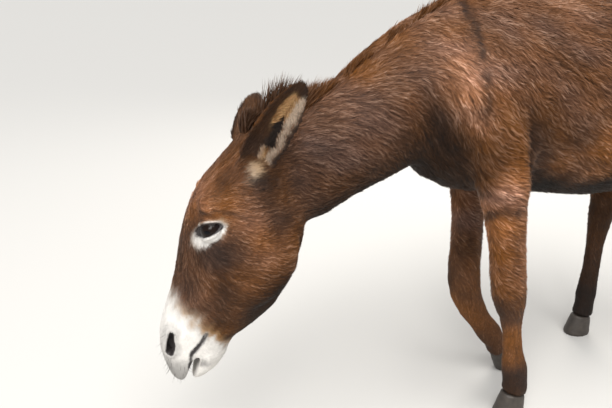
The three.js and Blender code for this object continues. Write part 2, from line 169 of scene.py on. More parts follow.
def unit(vectors):
    """The same directions with length 1."""
    return vectors / np.maximum(np.linalg.norm(vectors, axis=-1, keepdims=True), 1e-9)


def ease(low, high, values):
    """A soft step from 0 at low to 1 at high. Low may be the larger."""
    t = np.clip((values - low) / (high - low), 0, 1)
    return t * t * (3 - 2 * t)


def ripple(points, size, seed, waves=14):
    """A soft random field, about -1 to 1, whose lumps are size across."""
    rng = np.random.default_rng(seed)
    turns = unit(rng.normal(size=(waves, 3))) * (math.tau / size) * rng.uniform(0.55, 1.3, (waves, 1))
    starts = rng.uniform(0, math.tau, waves)
    return np.sin(points @ turns.T + starts).sum(1) / math.sqrt(waves)


def streaks(points, lie, size, reach, seed, waves=72):
    """A soft random field of streaks along the lie of the coat, size wide and a few reaches long."""
    rng = np.random.default_rng(seed)
    turns = unit(rng.normal(size=(waves, 3))) * (math.tau / size) * rng.uniform(0.6, 1.5, (waves, 1))
    share = np.exp(-(((lie @ turns.T) * reach) ** 2))
    waved = share * np.sin(points @ turns.T + rng.uniform(0, math.tau, waves))
    return waved.sum(1) / np.sqrt((share**2).sum(1) / 2 + 0.05)


def new_object(name, mesh, material=None):
    thing = bpy.data.objects.new(name, mesh)
    bpy.context.scene.collection.objects.link(thing)
    if material:
        mesh.materials.append(material)
    return thing


def build_mesh(name, points, faces, smooth=True):
    """A mesh from arrays. faces holds rows of one length."""
    mesh = bpy.data.meshes.new(name)
    corners = faces.shape[1]
    mesh.vertices.add(len(points))
    mesh.vertices.foreach_set("co", points.astype(np.float32).ravel())
    mesh.loops.add(faces.size)
    mesh.loops.foreach_set("vertex_index", faces.astype(np.int32).ravel())
    mesh.polygons.add(len(faces))
    mesh.polygons.foreach_set("loop_start", np.arange(0, faces.size, corners, dtype=np.int32))
    mesh.update(calc_edges=True)
    mesh.polygons.foreach_set("use_smooth", np.full(len(faces), smooth))
    return mesh


def give(mesh, name, values):
    """Stores one number for each point of the mesh, for its material to read."""
    layer = mesh.attributes.new(name, "FLOAT", "POINT")
    layer.data.foreach_set("value", values.astype(np.float32))


def with_smooth_faces(mesh):
    mesh.polygons.foreach_set("use_smooth", np.ones(len(mesh.polygons), bool))
    mesh.update()
    return mesh


def settle(name, mesh, material, slot, *solids):
    """A visible piece that goes with the body and stands for the solids that are named."""
    piece = new_object(name, mesh, material)
    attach(piece, "root")
    if solids:
        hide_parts(*solids)


def with_modifier(mesh, kind, settings):
    """The mesh that one modifier makes of a mesh."""
    thing = new_object("shaping", mesh)
    modifier = thing.modifiers.new("shaping", kind)
    for key, value in settings.items():
        setattr(modifier, key, value)
    shaped = thing.evaluated_get(bpy.context.evaluated_depsgraph_get())
    result = bpy.data.meshes.new_from_object(shaped)
    bpy.data.objects.remove(thing)
    return result


# ---- Skin ---------------------------------------------------------------------------------------------
# How often values are evened out over the skin
ROUNDS = {"depth": 14, "firmness": 10, "shape": 110, "gap": 40, "fine": 5, "hair": 20, "lie": 12, "hoof": 14}


def joined_flesh():
    """All flesh as one triangle soup, with the part that each triangle belongs to."""
    points, faces, owner, start = [], [], [], 0
    for index, name in enumerate(PARTS):
        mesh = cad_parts[name].data
        here = triangles_of(mesh)
        points.append(points_of(mesh))
        faces.append(here + start)
        owner.append(np.full(len(here), index))
        start += len(mesh.vertices)
    return np.concatenate(points), np.concatenate(faces), np.concatenate(owner)


def nearest_on(tree, points):
    """For each point the index of the nearest face and how far the point is outside it."""
    index = np.zeros(len(points), int)
    outside = np.zeros(len(points))
    for i, point in enumerate(points.tolist()):
        place, normal, face, _ = tree.find_nearest(point)
        index[i] = face
        outside[i] = (Vector(point) - place).dot(normal)
    return index, outside


def part_of(points, flesh):
    """For each point the index of the part whose solid is nearest."""
    soup, faces, owner = flesh
    tree = BVHTree.FromPolygons(soup.tolist(), faces.tolist())
    return owner[nearest_on(tree, points)[0]]


def rough_skin():
    """The solids as one closed surface, smoothed and set inside them by the depth of the coat."""
    flesh = joined_flesh()
    mesh = build_mesh("flesh", flesh[0], flesh[1])
    mesh = with_modifier(mesh, "REMESH", {"mode": "VOXEL", "voxel_size": SKIN_VOXEL})
    points = points_of(mesh)
    table = neighbours_of(mesh, 6)
    part = part_of(points, flesh)
    even = np.ones(len(points))
    depth = relax((COAT_DEPTH * MM)[part], table, even, ROUNDS["depth"])
    firm = relax(SMOOTHING[part], table, even, ROUNDS["firmness"])
    outer = BVHTree.FromPolygons(points.tolist(), [p.vertices[:] for p in mesh.polygons])
    points = relax(points, table, firm, ROUNDS["shape"])
    move_points(mesh, points)
    gap = nearest_on(outer, points)[1]
    gap = relax(gap, table, even, ROUNDS["gap"])
    move_points(mesh, points - normals_of(mesh) * (gap + depth)[:, None])
    return mesh, flesh, np.char.startswith(PART_NAMES[part], "ear")


EYE_SPOT = {side: np.array(sum(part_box("eye_" + side), Vector())) / 2 for side in SIDES}
NOSTRIL = [(410, 0, -58), (420, 0, -57), (432, 0, -55), (446, 0, -54)]  # along the slit, seen from the side
NOSE_MIDDLE = 13  # no nostril this near to the middle of the nose
NO_NOSTRIL = 60
NOSTRIL_DEPTH = 15
NOSTRIL_LIP = 2.2  # how far its edge stands up
LIP_LINE = [(398, 48, 4), (420, 47, -4), (440, 45, -14), (470, 42, -12), (500, 30, -8)]
LID_REACH = 30  # half the length of the opening between the lids, over the curve
LID_ROUND = (43, 33)  # half axes of the place that the lids shape
CLOSED = 40  # how far past their edges the lids count as closed beyond the corners
LID_THICKNESS = 2.6
LID_HEIGHTS = (16.0, 8.5)  # of the upper and lower edge from the middle line
LID_SHIFT = 3  # how far the opening sits towards the nose from the middle of the ball
EYE_AXES = {}  # for each side: out of the head, from the nasal to the outer corner, towards the brow
for side, sign in SIDES.items():
    gaze = unit(np.array([0.04, sign * 0.88, -0.46]))
    back = np.array([-0.67, 0.0, 0.74])
    back = unit(back - gaze * (back @ gaze))
    brow = np.cross(gaze, back) * -sign
    brow *= np.sign(brow @ np.array([-0.74, 0.0, -0.67]))
    EYE_AXES[side] = np.array([gaze, back, brow]) @ HEAD_AXES


def from_nostril(places):
    """Distance from the slit of the nostril, as the side of the muzzle shows it, and where along it."""
    far, along = route_distance(places * [1, 0, 1], NOSTRIL)
    return far + NO_NOSTRIL * (np.abs(places[:, 1]) < NOSE_MIDDLE), along


def nostril_width(along):
    """Half the width of the slit, in millimetres, narrow at its top."""
    return 3.7 + 2.6 * ease(0.0, 0.7, along)


def route_distance(places, route):
    """Distance from each place to a line through the points of the route, and where along it, 0 to 1."""
    best = np.full(len(places), 1e9)
    along = np.zeros(len(places))
    route = np.array(route, float)
    for i, (a, b) in enumerate(zip(route[:-1], route[1:])):
        t = np.clip((places - a) @ (b - a) / ((b - a) @ (b - a)), 0, 1)
        far = np.linalg.norm(places - a - t[:, None] * (b - a), axis=1)
        nearer = far < best
        best[nearer] = far[nearer]
        along[nearer] = ((i + t) / (len(route) - 1))[nearer]
    return best, along


def refine(mesh, spots):
    """Halves the faces within each spot's radius, given as (middle, radius)."""
    centres = rows_from(mesh.polygons, "center")
    near = np.zeros(len(centres), bool)
    for middle, radius in spots:
        near |= np.linalg.norm(centres - middle, axis=1) < radius
    work = bmesh.new()
    work.from_mesh(mesh)
    work.faces.ensure_lookup_table()
    edges = {edge for i in np.flatnonzero(near) for edge in work.faces[i].edges}
    bmesh.ops.subdivide_edges(work, edges=list(edges), cuts=1, use_grid_fill=True)
    work.to_mesh(mesh)
    work.free()


def head_spots(rows):
    """Spots on both sides of the head, from a place and a radius in millimetres."""
    return [(from_head([s, y * sign, v]), radius * MM) for s, y, v, radius in rows for sign in (-1, 1)]


# Where the skin is cut finer: round the eye, the nostril and the lips, and there once more
FINE_SPOTS = [(186, 62, -34, 58), (428, 48, -55, 42), (440, 44, 0, 52), (480, 28, 0, 45)]
FINEST_SPOTS = [(186, 70, -34, 40), (428, 48, -55, 30), (430, 46, 0, 26)]

# Ridges and grooves of the head: the route on one side in millimetres, how wide, how high
HEAD_STROKES = [
    ([(142, 56, -62), (158, 70, -54), (172, 80, -42)], 13, 4.6),  # brow over the eye
    ([(160, 60, -52), (162, 76, -34), (172, 84, -14)], 5, -2.2),  # crease over the upper lid
    ([(178, 80, -6), (202, 78, -14), (218, 70, -36)], 8, 1.6),  # lower edge of the socket
    ([(205, 74, -36), (240, 72, -26), (285, 66, -22), (330, 58, -18)], 12, 3.8),  # facial crest
    ([(222, 66, -60), (262, 58, -58), (310, 50, -52)], 15, -3.4),  # hollow beside the nose
    ([(215, 76, 2), (250, 72, 8), (290, 66, 10)], 12, -2.2),  # hollow under the crest
    ([(300, 60, 16), (345, 54, 26), (385, 50, 30)], 18, -3.4),  # hollow before the cheek
    ([(205, 72, 138), (262, 62, 148), (315, 52, 132), (352, 46, 108)], 14, 2.4),  # edge of the jaw
    ([(150, 82, 20), (180, 84, 45), (215, 80, 60)], 24, 2.4),  # round of the cheek
    ([(120, 74, 50), (150, 70, 78), (185, 66, 100)], 12, -2.4),  # hollow behind the cheek
    ([(84, 68, 18), (92, 70, 36), (84, 66, 58)], 10, -4.0),  # hollow under the ear
    ([(96, 62, -40), (124, 68, -48)], 15, -3.8),  # hollow over the brow
    (LIP_LINE[:4], 3.2, -4.0),  # parting of the lips
    ([(394, 50, 8), (408, 49, 18), (418, 47, 32)], 5, -1.8),  # fold at the corner of the mouth
    ([(402, 50, -34), (426, 52, -40), (448, 46, -46)], 6, 2.2),  # outer wing of the nostril
    ([(400, 40, -66), (424, 38, -72), (448, 33, -70)], 7, 1.8),  # inner wing of the nostril
    ([(458, 44, -34), (486, 38, -24), (505, 24, -20)], 10, 2.0),  # upper lip
    ([(452, 42, 20), (478, 34, 22), (494, 20, 20)], 9, 2.0),  # lower lip
]
# The same on the body, in metres in the frame: route, width and height in millimetres
BODY_STROKES = [
    ([(-0.265, -0.08, 0.90), (-0.25, -0.11, 0.83), (-0.235, -0.118, 0.76)], 26, 4.0),  # shoulder front
    ([(-0.325, -0.075, 0.82), (-0.30, -0.085, 0.76), (-0.275, -0.095, 0.70)], 24, -4.5),  # hollow before it
    ([(-0.13, -0.15, 0.9), (-0.15, -0.15, 0.80)], 22, -2.2),  # behind the ridge of the shoulder blade
    ([(-0.155, -0.148, 0.74), (-0.14, -0.152, 0.68), (-0.14, -0.152, 0.63)], 26, 3.0),  # over the elbow
    ([(-0.124, -0.151, 0.80), (-0.108, -0.148, 0.72), (-0.098, -0.15, 0.65)], 11, -5.0),  # behind the muscle
    ([(-0.175, -0.10, 0.57), (-0.153, -0.134, 0.572), (-0.11, -0.146, 0.566)], 5, -3.2),  # elbow crease
    ([(-0.14, -0.135, 0.545), (-0.135, -0.13, 0.5)], 14, 2.4),  # muscle of the forearm
    ([(-0.10, -0.135, 0.50), (-0.09, -0.13, 0.42)], 7, -1.8),  # groove along the forearm
    ([(-0.115, -0.11, 0.40), (-0.10, -0.115, 0.37)], 16, 2.0),  # knee
    ([(-0.115, -0.10, 0.345), (-0.085, -0.125, 0.34), (-0.06, -0.13, 0.345)], 8, -1.8),  # under the knee
    ([(-0.045, -0.125, 0.31), (-0.03, -0.12, 0.2), (-0.03, -0.12, 0.15)], 6, -1.6),  # before the tendon
    ([(-0.02, -0.12, 0.6), (0.06, -0.13, 0.6), (0.14, -0.13, 0.6)], 22, 1.5),  # girth
]


def shape_lids(points, side):
    """Draws the lids over the eyeball and opens them along an almond."""
    gaze, back, brow = EYE_AXES[side]
    offset = points - EYE_SPOT[side]
    radius = np.linalg.norm(offset, axis=1)
    a, b = offset @ back / MM + LID_SHIFT, offset @ brow / MM
    front = offset @ gaze > 0
    span = np.clip(1 - (a / LID_REACH) ** 2, 0, 1)
    upper = LID_HEIGHTS[0] * span**0.6 * (1 - 0.30 * a / LID_REACH) + 0.5
    lower = -LID_HEIGHTS[1] * span**0.9 + 1.0 - 0.05 * a
    open_by = np.minimum(upper - b, b - lower) - CLOSED * (np.abs(a) > LID_REACH)
    lid = EYE_RADIUS + MM * (LID_THICKNESS + 1.2 * np.exp(-((open_by + 2.5) ** 2) / 5))
    lid -= MM * 1.3 * np.exp(-((b - upper - 6.5) ** 2) / 5) * (b > 0)
    lid -= MM * 0.8 * np.exp(-((lower - b - 6) ** 2) / 5) * (b < 0)
    under = EYE_RADIUS - LID_THICKNESS * MM
    target = np.where(open_by > 0, lid + (under - lid) * ease(0.0, 1.6, open_by), lid)
    near = 1 - ease(0.6, 1.0, np.hypot(a / LID_ROUND[0], b / LID_ROUND[1]))
    moved = EYE_SPOT[side] + offset * ((radius + (target - radius) * near) / radius)[:, None]
    return np.where(((near > 0) & front)[:, None], moved, points)


def cut_finer(mesh):
    """Smaller faces, evened out, where eyes, nostrils and lips are."""
    refine(mesh, head_spots(FINE_SPOTS))
    refine(mesh, head_spots(FINEST_SPOTS))
    points = points_of(mesh)
    fine = np.zeros(len(points))
    for middle, radius in head_spots(FINE_SPOTS):
        near = 1 - ease(radius * 0.8, radius, np.linalg.norm(points - middle, axis=1))
        fine = np.maximum(fine, near)
    move_points(mesh, relax(points, neighbours_of(mesh), fine * 0.7, ROUNDS["fine"]))


def strokes(places, rows, scale=1.0):
    """The height that the ridges and grooves give to each place."""
    push = np.zeros(len(places))
    for route, width, height in rows:
        far = route_distance(places, np.array(route, float) / scale)[0]
        push += height * np.exp(-((far / width) ** 2))
    return push


def shaped_skin():
    """The skin with its fine places cut finer, then sculpted."""
    mesh, flesh, ears = rough_skin()
    mesh = thinned(mesh, ears)
    cut_finer(mesh)
    points, normals = points_of(mesh), normals_of(mesh)
    places = head_places(points)
    places[:, 1] = np.abs(places[:, 1])
    on_left = points / MM
    on_left[:, 1] = -np.abs(on_left[:, 1])
    relief = strokes(places, HEAD_STROKES) + strokes(on_left, BODY_STROKES, MM)
    far, along = from_nostril(places)
    wide = nostril_width(along)
    push = relief - NOSTRIL_DEPTH * (1 - ease(wide * 0.5, wide, far))
    push += NOSTRIL_LIP * np.exp(-(((far - wide - 3.5) / 3) ** 2))
    push += 0.5 * ripple(points, 0.03, 3) * ease(0, 40, np.abs(places[:, 0] - FINE_SPOTS[0][0]))
    points = points + normals * (push * MM)[:, None]
    for side in SIDES:
        points = shape_lids(points, side)
    move_points(mesh, points)
    return with_smooth_faces(mesh), flesh, relief


def thinned(mesh, ears):
    """Takes triangles away, but none from the thin ears, until SKIN_TRIANGLES are left."""
    thing = new_object("skin", mesh)
    group = thing.vertex_groups.new(name="body")
    group.add(np.flatnonzero(~ears).tolist(), 1.0, "REPLACE")
    group.add(np.flatnonzero(ears).tolist(), 0.0, "REPLACE")
    modifier = thing.modifiers.new("thin", "DECIMATE")
    modifier.ratio = SKIN_TRIANGLES / len(triangles_of(mesh))
    modifier.vertex_group = "body"
    modifier.vertex_group_factor = 10
    result = bpy.data.meshes.new_from_object(thing.evaluated_get(bpy.context.evaluated_depsgraph_get()))
    bpy.data.objects.remove(thing)
    return result


# ---- Markings -----------------------------------------------------------------------------------------
EARS = {
    "left": {"base": (66, -50, 8), "tip": (-102, -135, 42), "open": (0.15, -1, 0.05)},
    "right": {"base": (66, 50, 14), "tip": (-32, 184, 34), "open": (0.9, 0.2, -0.3)},
}


def ear_places(points, side):
    """Along an ear, 0 at its base and 1 at its tip, across it in millimetres, and out of its opening."""
    ear = EARS[side]
    base = np.array(ear["base"], float)
    reach = np.array(ear["tip"]) - base
    axis = unit(reach)
    facing = np.array(ear["open"], float)
    facing = unit(facing - axis * (facing @ axis))
    across = np.cross(axis, facing)
    local = head_places(points) - base
    return local @ axis / np.linalg.norm(reach), local @ across, local @ facing, facing @ HEAD_AXES


# On one side of the head: a place down the face, outwards and towards the throat, in millimetres, then how
# light the coat is there, partly its own tone and partly painted light and shade, and how rusty its brown
HEAD_TONE_AND_PAINTED_LIGHT = {
    "forehead": [(40, 0, -30, 1.1, 0.8), (85, 15, -50, 2.0, 0.55), (130, 22, -72, 3.8, 0.42)],
    "brow": [(110, 55, -30, 1.1, 0.75), (148, 62, -50, 2.3, 0.5), (150, 72, -30, 1.5, 0.7)],
    "temple": [(120, 76, 12, 1.35, 0.4), (155, 82, 22, 2.1, 0.35)],
    "under_ear": [(72, 68, 36, 0.35, 0.7), (100, 72, 45, 0.8, 0.5)],
    "below_eye": [(225, 72, -22, 0.38, 0.1), (205, 80, 10, 1.0, 0.4)],
    "nose": [
        (190, 50, -62, 0.8, 0.5), (250, 15, -78, 0.8, 0.45), (330, 15, -72, 1.1, 0.35),
        (300, 45, -45, 0.85, 0.25),
    ],
    "cheek": [
        (215, 80, 55, 1.9, 0.65), (265, 70, 40, 1.35, 0.8), (300, 62, 0, 0.85, 0.6),
        (335, 56, 50, 1.1, 0.85), (215, 68, 128, 1.1, 0.85),
    ],
    "jaw": [(290, 55, 128, 0.28, 0.85), (350, 40, 95, 0.4, 0.8), (385, 40, 50, 1.2, 0.85)],
    "throat": [(150, 68, 90, 1.1, 0.45), (240, 10, 150, 0.4, 0.8)],
}
# The same, painted light and shade included, on the left of the body, with the place in metres in the frame
BODY_TONE_AND_PAINTED_LIGHT = {
    "neck": [
        (-0.40, 0.0, 0.88, 1.3, 0.85), (-0.45, -0.07, 0.76, 1.1, 0.1), (-0.53, -0.06, 0.72, 1.0, 0.1),
        (-0.60, -0.06, 0.69, 0.75, 0.3),
    ],
    "throat": [
        (-0.48, -0.05, 0.64, 0.75, 0.75), (-0.42, 0.0, 0.61, 0.45, 0.85), (-0.58, -0.03, 0.56, 0.6, 0.85),
    ],
    "neck_base": [
        (-0.36, -0.06, 0.85, 1.25, 0.4), (-0.34, -0.07, 0.73, 0.65, 0.7), (-0.285, -0.09, 0.74, 0.35, 0.8),
        (-0.26, -0.10, 0.69, 0.45, 0.9),
    ],
    "shoulder": [
        (-0.24, -0.06, 0.95, 1.5, 0.5), (-0.27, -0.075, 0.89, 2.0, 0.35), (-0.24, -0.115, 0.84, 2.3, 0.22),
        (-0.215, -0.13, 0.78, 1.6, 0.42), (-0.16, -0.13, 0.90, 1.5, 0.35),
    ],
    "upper_arm": [
        (-0.19, -0.143, 0.73, 0.85, 1.0), (-0.145, -0.15, 0.72, 0.88, 1.0),
        (-0.22, -0.11, 0.66, 0.95, 0.9),
    ],
    "elbow": [(-0.17, -0.137, 0.615, 3.0, 0.25), (-0.135, -0.15, 0.60, 3.0, 0.3)],
    "breast": [(-0.26, -0.04, 0.61, 0.55, 0.85)],
    "forearm": [
        (-0.14, -0.13, 0.535, 2.5, 0.7), (-0.12, -0.12, 0.45, 2.05, 0.8), (-0.06, -0.13, 0.47, 2.6, 0.5),
        (-0.06, -0.13, 0.40, 2.0, 0.6),
    ],
    "knee": [
        (-0.10, -0.11, 0.38, 1.1, 0.75), (-0.10, -0.10, 0.31, 0.52, 0.6), (-0.06, -0.12, 0.30, 0.9, 0.5),
    ],
    "fore_cannon": [
        (-0.05, -0.11, 0.24, 1.7, 1.0), (-0.05, -0.10, 0.18, 1.5, 1.0), (-0.03, -0.11, 0.105, 0.35, 0.5),
    ],
    "bent_foreleg": [
        (-0.05, -0.06, 0.55, 1.9, 0.15), (-0.06, -0.065, 0.47, 1.5, 0.15), (-0.07, -0.07, 0.40, 0.6, 0.6),
        (-0.055, -0.06, 0.28, 1.0, 0.8),
    ],
    "behind_shoulder": [
        (-0.10, -0.15, 0.72, 0.6, 0.7), (-0.095, -0.15, 0.65, 0.55, 0.6), (-0.07, -0.14, 0.61, 0.7, 0.4),
    ],
    "ribs": [
        (0.0, -0.17, 0.80, 1.1, 0.5), (-0.04, -0.14, 0.87, 1.3, 0.4), (0.04, -0.10, 0.97, 1.5, 0.45),
        (0.0, -0.165, 0.72, 0.9, 0.6),
    ],
    "flank": [
        (0.0, -0.155, 0.655, 3.2, 0.7), (0.08, -0.169, 0.675, 2.8, 0.85), (0.10, -0.155, 0.63, 3.2, 0.75),
    ],
    "belly": [(0.13, -0.13, 0.585, 0.2, 0.85), (0.0, -0.09, 0.59, 0.12, 0.85), (0.1, 0.0, 0.55, 0.2, 0.85)],
    "barrel": [(0.12, -0.18, 0.78, 1.05, 0.6), (0.3, -0.18, 0.80, 1.1, 0.5), (0.36, -0.16, 0.63, 2.0, 0.7)],
    "rear_belly": [(0.36, 0.0, 0.57, 0.3, 0.7), (0.3, -0.11, 0.575, 0.35, 0.8)],
    "back": [(0.3, -0.05, 1.02, 1.5, 0.5)],
    "rump": [(0.6, -0.15, 0.90, 1.25, 0.55), (0.6, -0.17, 0.70, 1.2, 0.75), (0.62, -0.03, 0.62, 1.9, 0.35)],
    "hind_leg": [
        (0.68, -0.13, 0.50, 1.3, 0.85), (0.70, -0.10, 0.28, 1.4, 0.95), (0.70, -0.10, 0.10, 0.4, 0.5),
    ],
    "forward_hind_leg": [
        (0.49, -0.10, 0.36, 0.55, 0.9), (0.49, -0.10, 0.22, 0.4, 0.75), (0.48, -0.10, 0.12, 0.12, 0.5),
    ],
    "tail": [(0.78, -0.05, 0.80, 1.1, 0.6)],
}


def by_nearness(points, places, values, soft):
    """Values at the points, blended from the nearest places."""
    total = np.zeros(len(points))
    out = np.zeros((len(points), values.shape[1]))
    for place, value in zip(places, values):
        share = 1 / (((points - place) ** 2).sum(1) + soft**2) ** 2
        out += share[:, None] * value
        total += share
    return out / total[:, None]


def rows_of(table):
    """The places of all rows of a table, and the values that follow them."""
    rows = np.array([row for named in table.values() for row in named], float)
    return rows[:, :3], rows[:, 3:]


def from_tables(points, head_table, body_table, soft, ways=False):
    """Values at the points from both tables, used on both sides. With ways, the values are directions."""
    head, head_values = rows_of(head_table)
    body, body_values = rows_of(body_table)
    places, values = [], []
    for sign in (-1, 1):
        places += [from_head(head * [1, sign, 1]), body * [1, -sign, 1]]
        if ways:
            values += [unit((head_values * [1, sign, 1]) @ HEAD_AXES), unit(body_values * [1, -sign, 1])]
        else:
            values += [head_values, body_values]
    return by_nearness(points, np.concatenate(places), np.concatenate(values), soft)


def tone_and_painted_light_of_coat(points):
    """Lightness with painted light and shade, and rust, of the coat at each point, with soft clouds in both.
    """
    light, warm = from_tables(points, HEAD_TONE_AND_PAINTED_LIGHT, BODY_TONE_AND_PAINTED_LIGHT, 0.02).T
    cloud = 0.10 * ripple(points, 0.11, 8) + 0.09 * ripple(points, 0.035, 9)
    return light * (1 + cloud), np.clip(warm + 0.16 * ripple(points, 0.07, 10), 0, 1)


def raise_mark(marks, key, mask):
    marks[key] = np.maximum(marks[key], mask)


EAR_WIDTH = 36  # half the width of an ear at its widest, in millimetres
EAR_OUTLINE = ([0, 0.24, 0.5, 0.7, 0.84, 1], [0.85, 1.0, 1.02, 0.9, 0.72, 0.3])  # along it: share of that


def mark_ears(points, normals, names, wild, marks):
    """Dark rolled front, tan and cream hair round a black hollow, dark tip and rims, rusty backs."""
    for side in SIDES:
        along, across, out, facing = ear_places(points, side)
        inner = ease(-0.1, 0.3, normals @ facing) * (out > -24)
        u = across / (EAR_WIDTH * np.interp(along, *EAR_OUTLINE)) + wild * 0.012
        front = -0.42 + 0.5 * ease(0.75, 0.1, along)
        hair = ease(front, front + 0.14, u) * (1 - ease(0.66, 0.8, u))
        hair *= 1 - ease(0.76, 0.88, along + wild * 0.006)
        middle = 0.16 + 0.16 * ease(0.45, 0.2, along)
        width = 0.07 + 0.27 * ease(0.18, 0.3, along) * ease(0.66, 0.5, along)
        hollow = 1 - ease(width * 0.6, width * 1.3, np.abs(u - middle))
        hollow *= ease(0.14, 0.26, along) * ease(0.86, 0.72, along)
        cream = np.maximum(ease(0.3, 0.46, u), ease(0.42, 0.28, along) * ease(0.3, 0.1, u))
        back_and_hollow = np.maximum(hollow, (1 - hair) * 0.35) * inner + (1 - inner) * 0.2
        tip = 0.55 * ease(0.74, 0.88, along) * ease(-0.95, -0.8, u)
        rim = 0.75 * ease(0.8, 0.9, u)
        found = {
            "pale": inner * hair * (1 - hollow) * (0.66 + 0.2 * cream),
            "warm": 1.0 - 0.55 * cream * inner,
            "light": 0.62 + 0.9 * inner * hair + 0.8 * ease(-0.84, -0.93, u),
            "dark": np.maximum.reduce([back_and_hollow, tip, rim]),
        }
        for key, values in found.items():
            marks[key] = np.where(names == "ear_" + side, values, marks[key])


FACE = ["head", "muzzle", "chin", "eye_left", "eye_right"]
WHITE_EDGE = (341, -80)  # a point of the edge of the white muzzle, down the face and to the throat
WHITE_WAY = (0.821, -0.571)  # from the brown to the white
CHIN_GREY = (463, 6)
BROW_CREASE = [(160, 56, -58), (149, 70, -36), (144, 78, -10), (149, 83, 18)]
STRIPE_X = -0.222  # where the dark cross stripe of the shoulders is rooted
ELBOW_CREASE = [
    (-0.162, -0.097, 0.553),
    (-0.165, -0.119, 0.567),
    (-0.157, -0.133, 0.575),
    (-0.118, -0.146, 0.564),
]
FOREARM_EDGE = [(-0.078, -0.077, 0.469), (-0.064, -0.067, 0.437), (-0.046, -0.061, 0.414)]
CHESTNUT_X = {"left": -0.05, "right": -0.006}  # bare spots on the inner sides of the forearms
CHESTNUT_HEIGHT = 0.42
CHESTNUT_SIZE = (0.017, 0.011)


def mark_face(places, names, wild, marks):
    """White muzzle, grey nose tip and chin, bare nostrils and lips, and painted shade in a crease of the
    brow.
    """
    s, y, v = places.T
    sides = places * [1, 0, 1] + np.abs(places) * [0, 1, 0]
    on_face = np.isin(names, FACE)
    edge = (s - WHITE_EDGE[0]) * WHITE_WAY[0] + (v - WHITE_EDGE[1]) * WHITE_WAY[1]
    raise_mark(marks, "pale", ease(-24, 12, edge + wild) * on_face)
    far, along = from_nostril(places)
    from_chin = np.abs(s - CHIN_GREY[0]) + np.abs(v - CHIN_GREY[1]) * 0.6
    greys = [
        0.55 * (1 - ease(8, 24, far + wild * 0.5)),
        0.85 * ease(444, 484, s + wild) * ease(0, -9, v),
        0.8 * (1 - ease(6, 18, from_chin + wild * 0.5)) * (names == "chin"),
    ]
    raise_mark(marks, "bare", 0.62 * np.maximum.reduce(greys))
    raise_mark(marks, "bare", 1 - ease(0.8, 3.5, far - nostril_width(along) + wild * 0.15))
    raise_mark(marks, "bare", 1 - ease(3, 7, route_distance(sides, LIP_LINE)[0] + wild * 0.2))
    # painted shade along the crease over the eye
    crease_shade = 1 - ease(2.5, 7, route_distance(sides, BROW_CREASE)[0] + wild * 0.3)
    raise_mark(marks, "dark", crease_shade * 0.5 * on_face)


def mark_under_ears(places, names, wild, marks):
    """A pale tuft before each ear and painted shade in the notch under it. Returns where the tuft is."""
    s, y, v = places.T
    beside = (names == "head") * (np.abs(y) > 45)
    tuft = 1 - ease(0.5, 1.1, np.hypot((s - 64) / 14, (v - 13) / 16) + wild * 0.02)
    # painted shade in the hollow under the ear
    notch_shade = 1 - ease(0.5, 1.1, np.hypot((s - 82) / 15, (v - 26) / 20) + wild * 0.02)
    raise_mark(marks, "pale", tuft * 0.65 * beside)
    raise_mark(marks, "dark", notch_shade * 0.6 * beside)
    return tuft


def mark_eyes(points, wild, marks):
    """The pale ring round each eye, and the bare dark rim of its lids, widened by painted shade of the
    lashes.
    """
    for side in SIDES:
        gaze, back, brow = EYE_AXES[side]
        offset = (points - EYE_SPOT[side]) / MM
        a, b = offset @ back + LID_SHIFT, offset @ brow
        front = offset @ gaze > 0
        ring = np.hypot((a + 5) / 43, (b + 1.5) / np.where(b < 0, 21.5, 22.5)) + wild * 0.014
        raise_mark(marks, "pale", (1 - ease(0.78, 1.06, ring)) * front * (0.7 + 0.25 * ease(3, -6, b)))
        # the lids' own dark rim, painted wider to hold the shade of the lashes
        rim = np.hypot(a / 32, (b - 2 + 0.16 * a) / np.where(b > 0, 15.5, 10.5))
        raise_mark(marks, "bare", (1 - ease(0.88, 1.04, rim)) * front)


def mark_trunk(points, normals, names, wild, marks):
    """The dark stripe over the shoulders, the dark line of the back and the dark dock."""
    x, height = points[:, 0], points[:, 2]
    aside = np.abs(points[:, 1])
    on_trunk = np.isin(names, TRUNK)
    stripe = 1 - ease(3, 6.5, np.abs(x - STRIPE_X - wild * 0.0004) / MM)
    stripe *= ease(0.755, 0.81, height) * (aside > 0.004)
    spine = (1 - ease(8, 17, aside / MM + wild * 0.6)) * ease(0.9, 0.98, normals[:, 2])
    raise_mark(marks, "dark", stripe * on_trunk * 0.92)
    raise_mark(marks, "dark", spine * on_trunk * (x > -0.3) * 0.7)
    raise_mark(marks, "dark", (names == "tail_dock") * 0.6)


def mark_forelegs(points, normals, names, wild, marks):
    """Painted shade in the creases at the elbow and along the forearm, and the bare chestnuts on its inner
    side.
    """
    on_forearm = np.char.startswith(names, "forearm")
    on_left = points * [1, 0, 1] - np.abs(points) * [0, 1, 0]
    from_elbow = route_distance(on_left, ELBOW_CREASE)[0] / MM + wild * 0.3
    from_edge = route_distance(on_left, FOREARM_EDGE)[0] / MM + wild * 0.3
    # painted shade in the elbow crease and along the forearm
    crease_shade = np.maximum(1 - ease(5, 10, from_elbow), 0.7 - 0.7 * ease(4, 9, from_edge))
    raise_mark(marks, "dark", crease_shade * 0.85 * on_forearm)
    spot_x = np.where(points[:, 1] > 0, CHESTNUT_X["right"], CHESTNUT_X["left"])
    tall, wide = CHESTNUT_SIZE
    chestnut = np.hypot((points[:, 2] - CHESTNUT_HEIGHT) / tall, (points[:, 0] - spot_x) / wide)
    inward = normals[:, 1] * np.sign(points[:, 1]) < -0.2
    raise_mark(marks, "bare", (1 - ease(0.6, 1.1, chestnut)) * inward * on_forearm * 0.9)


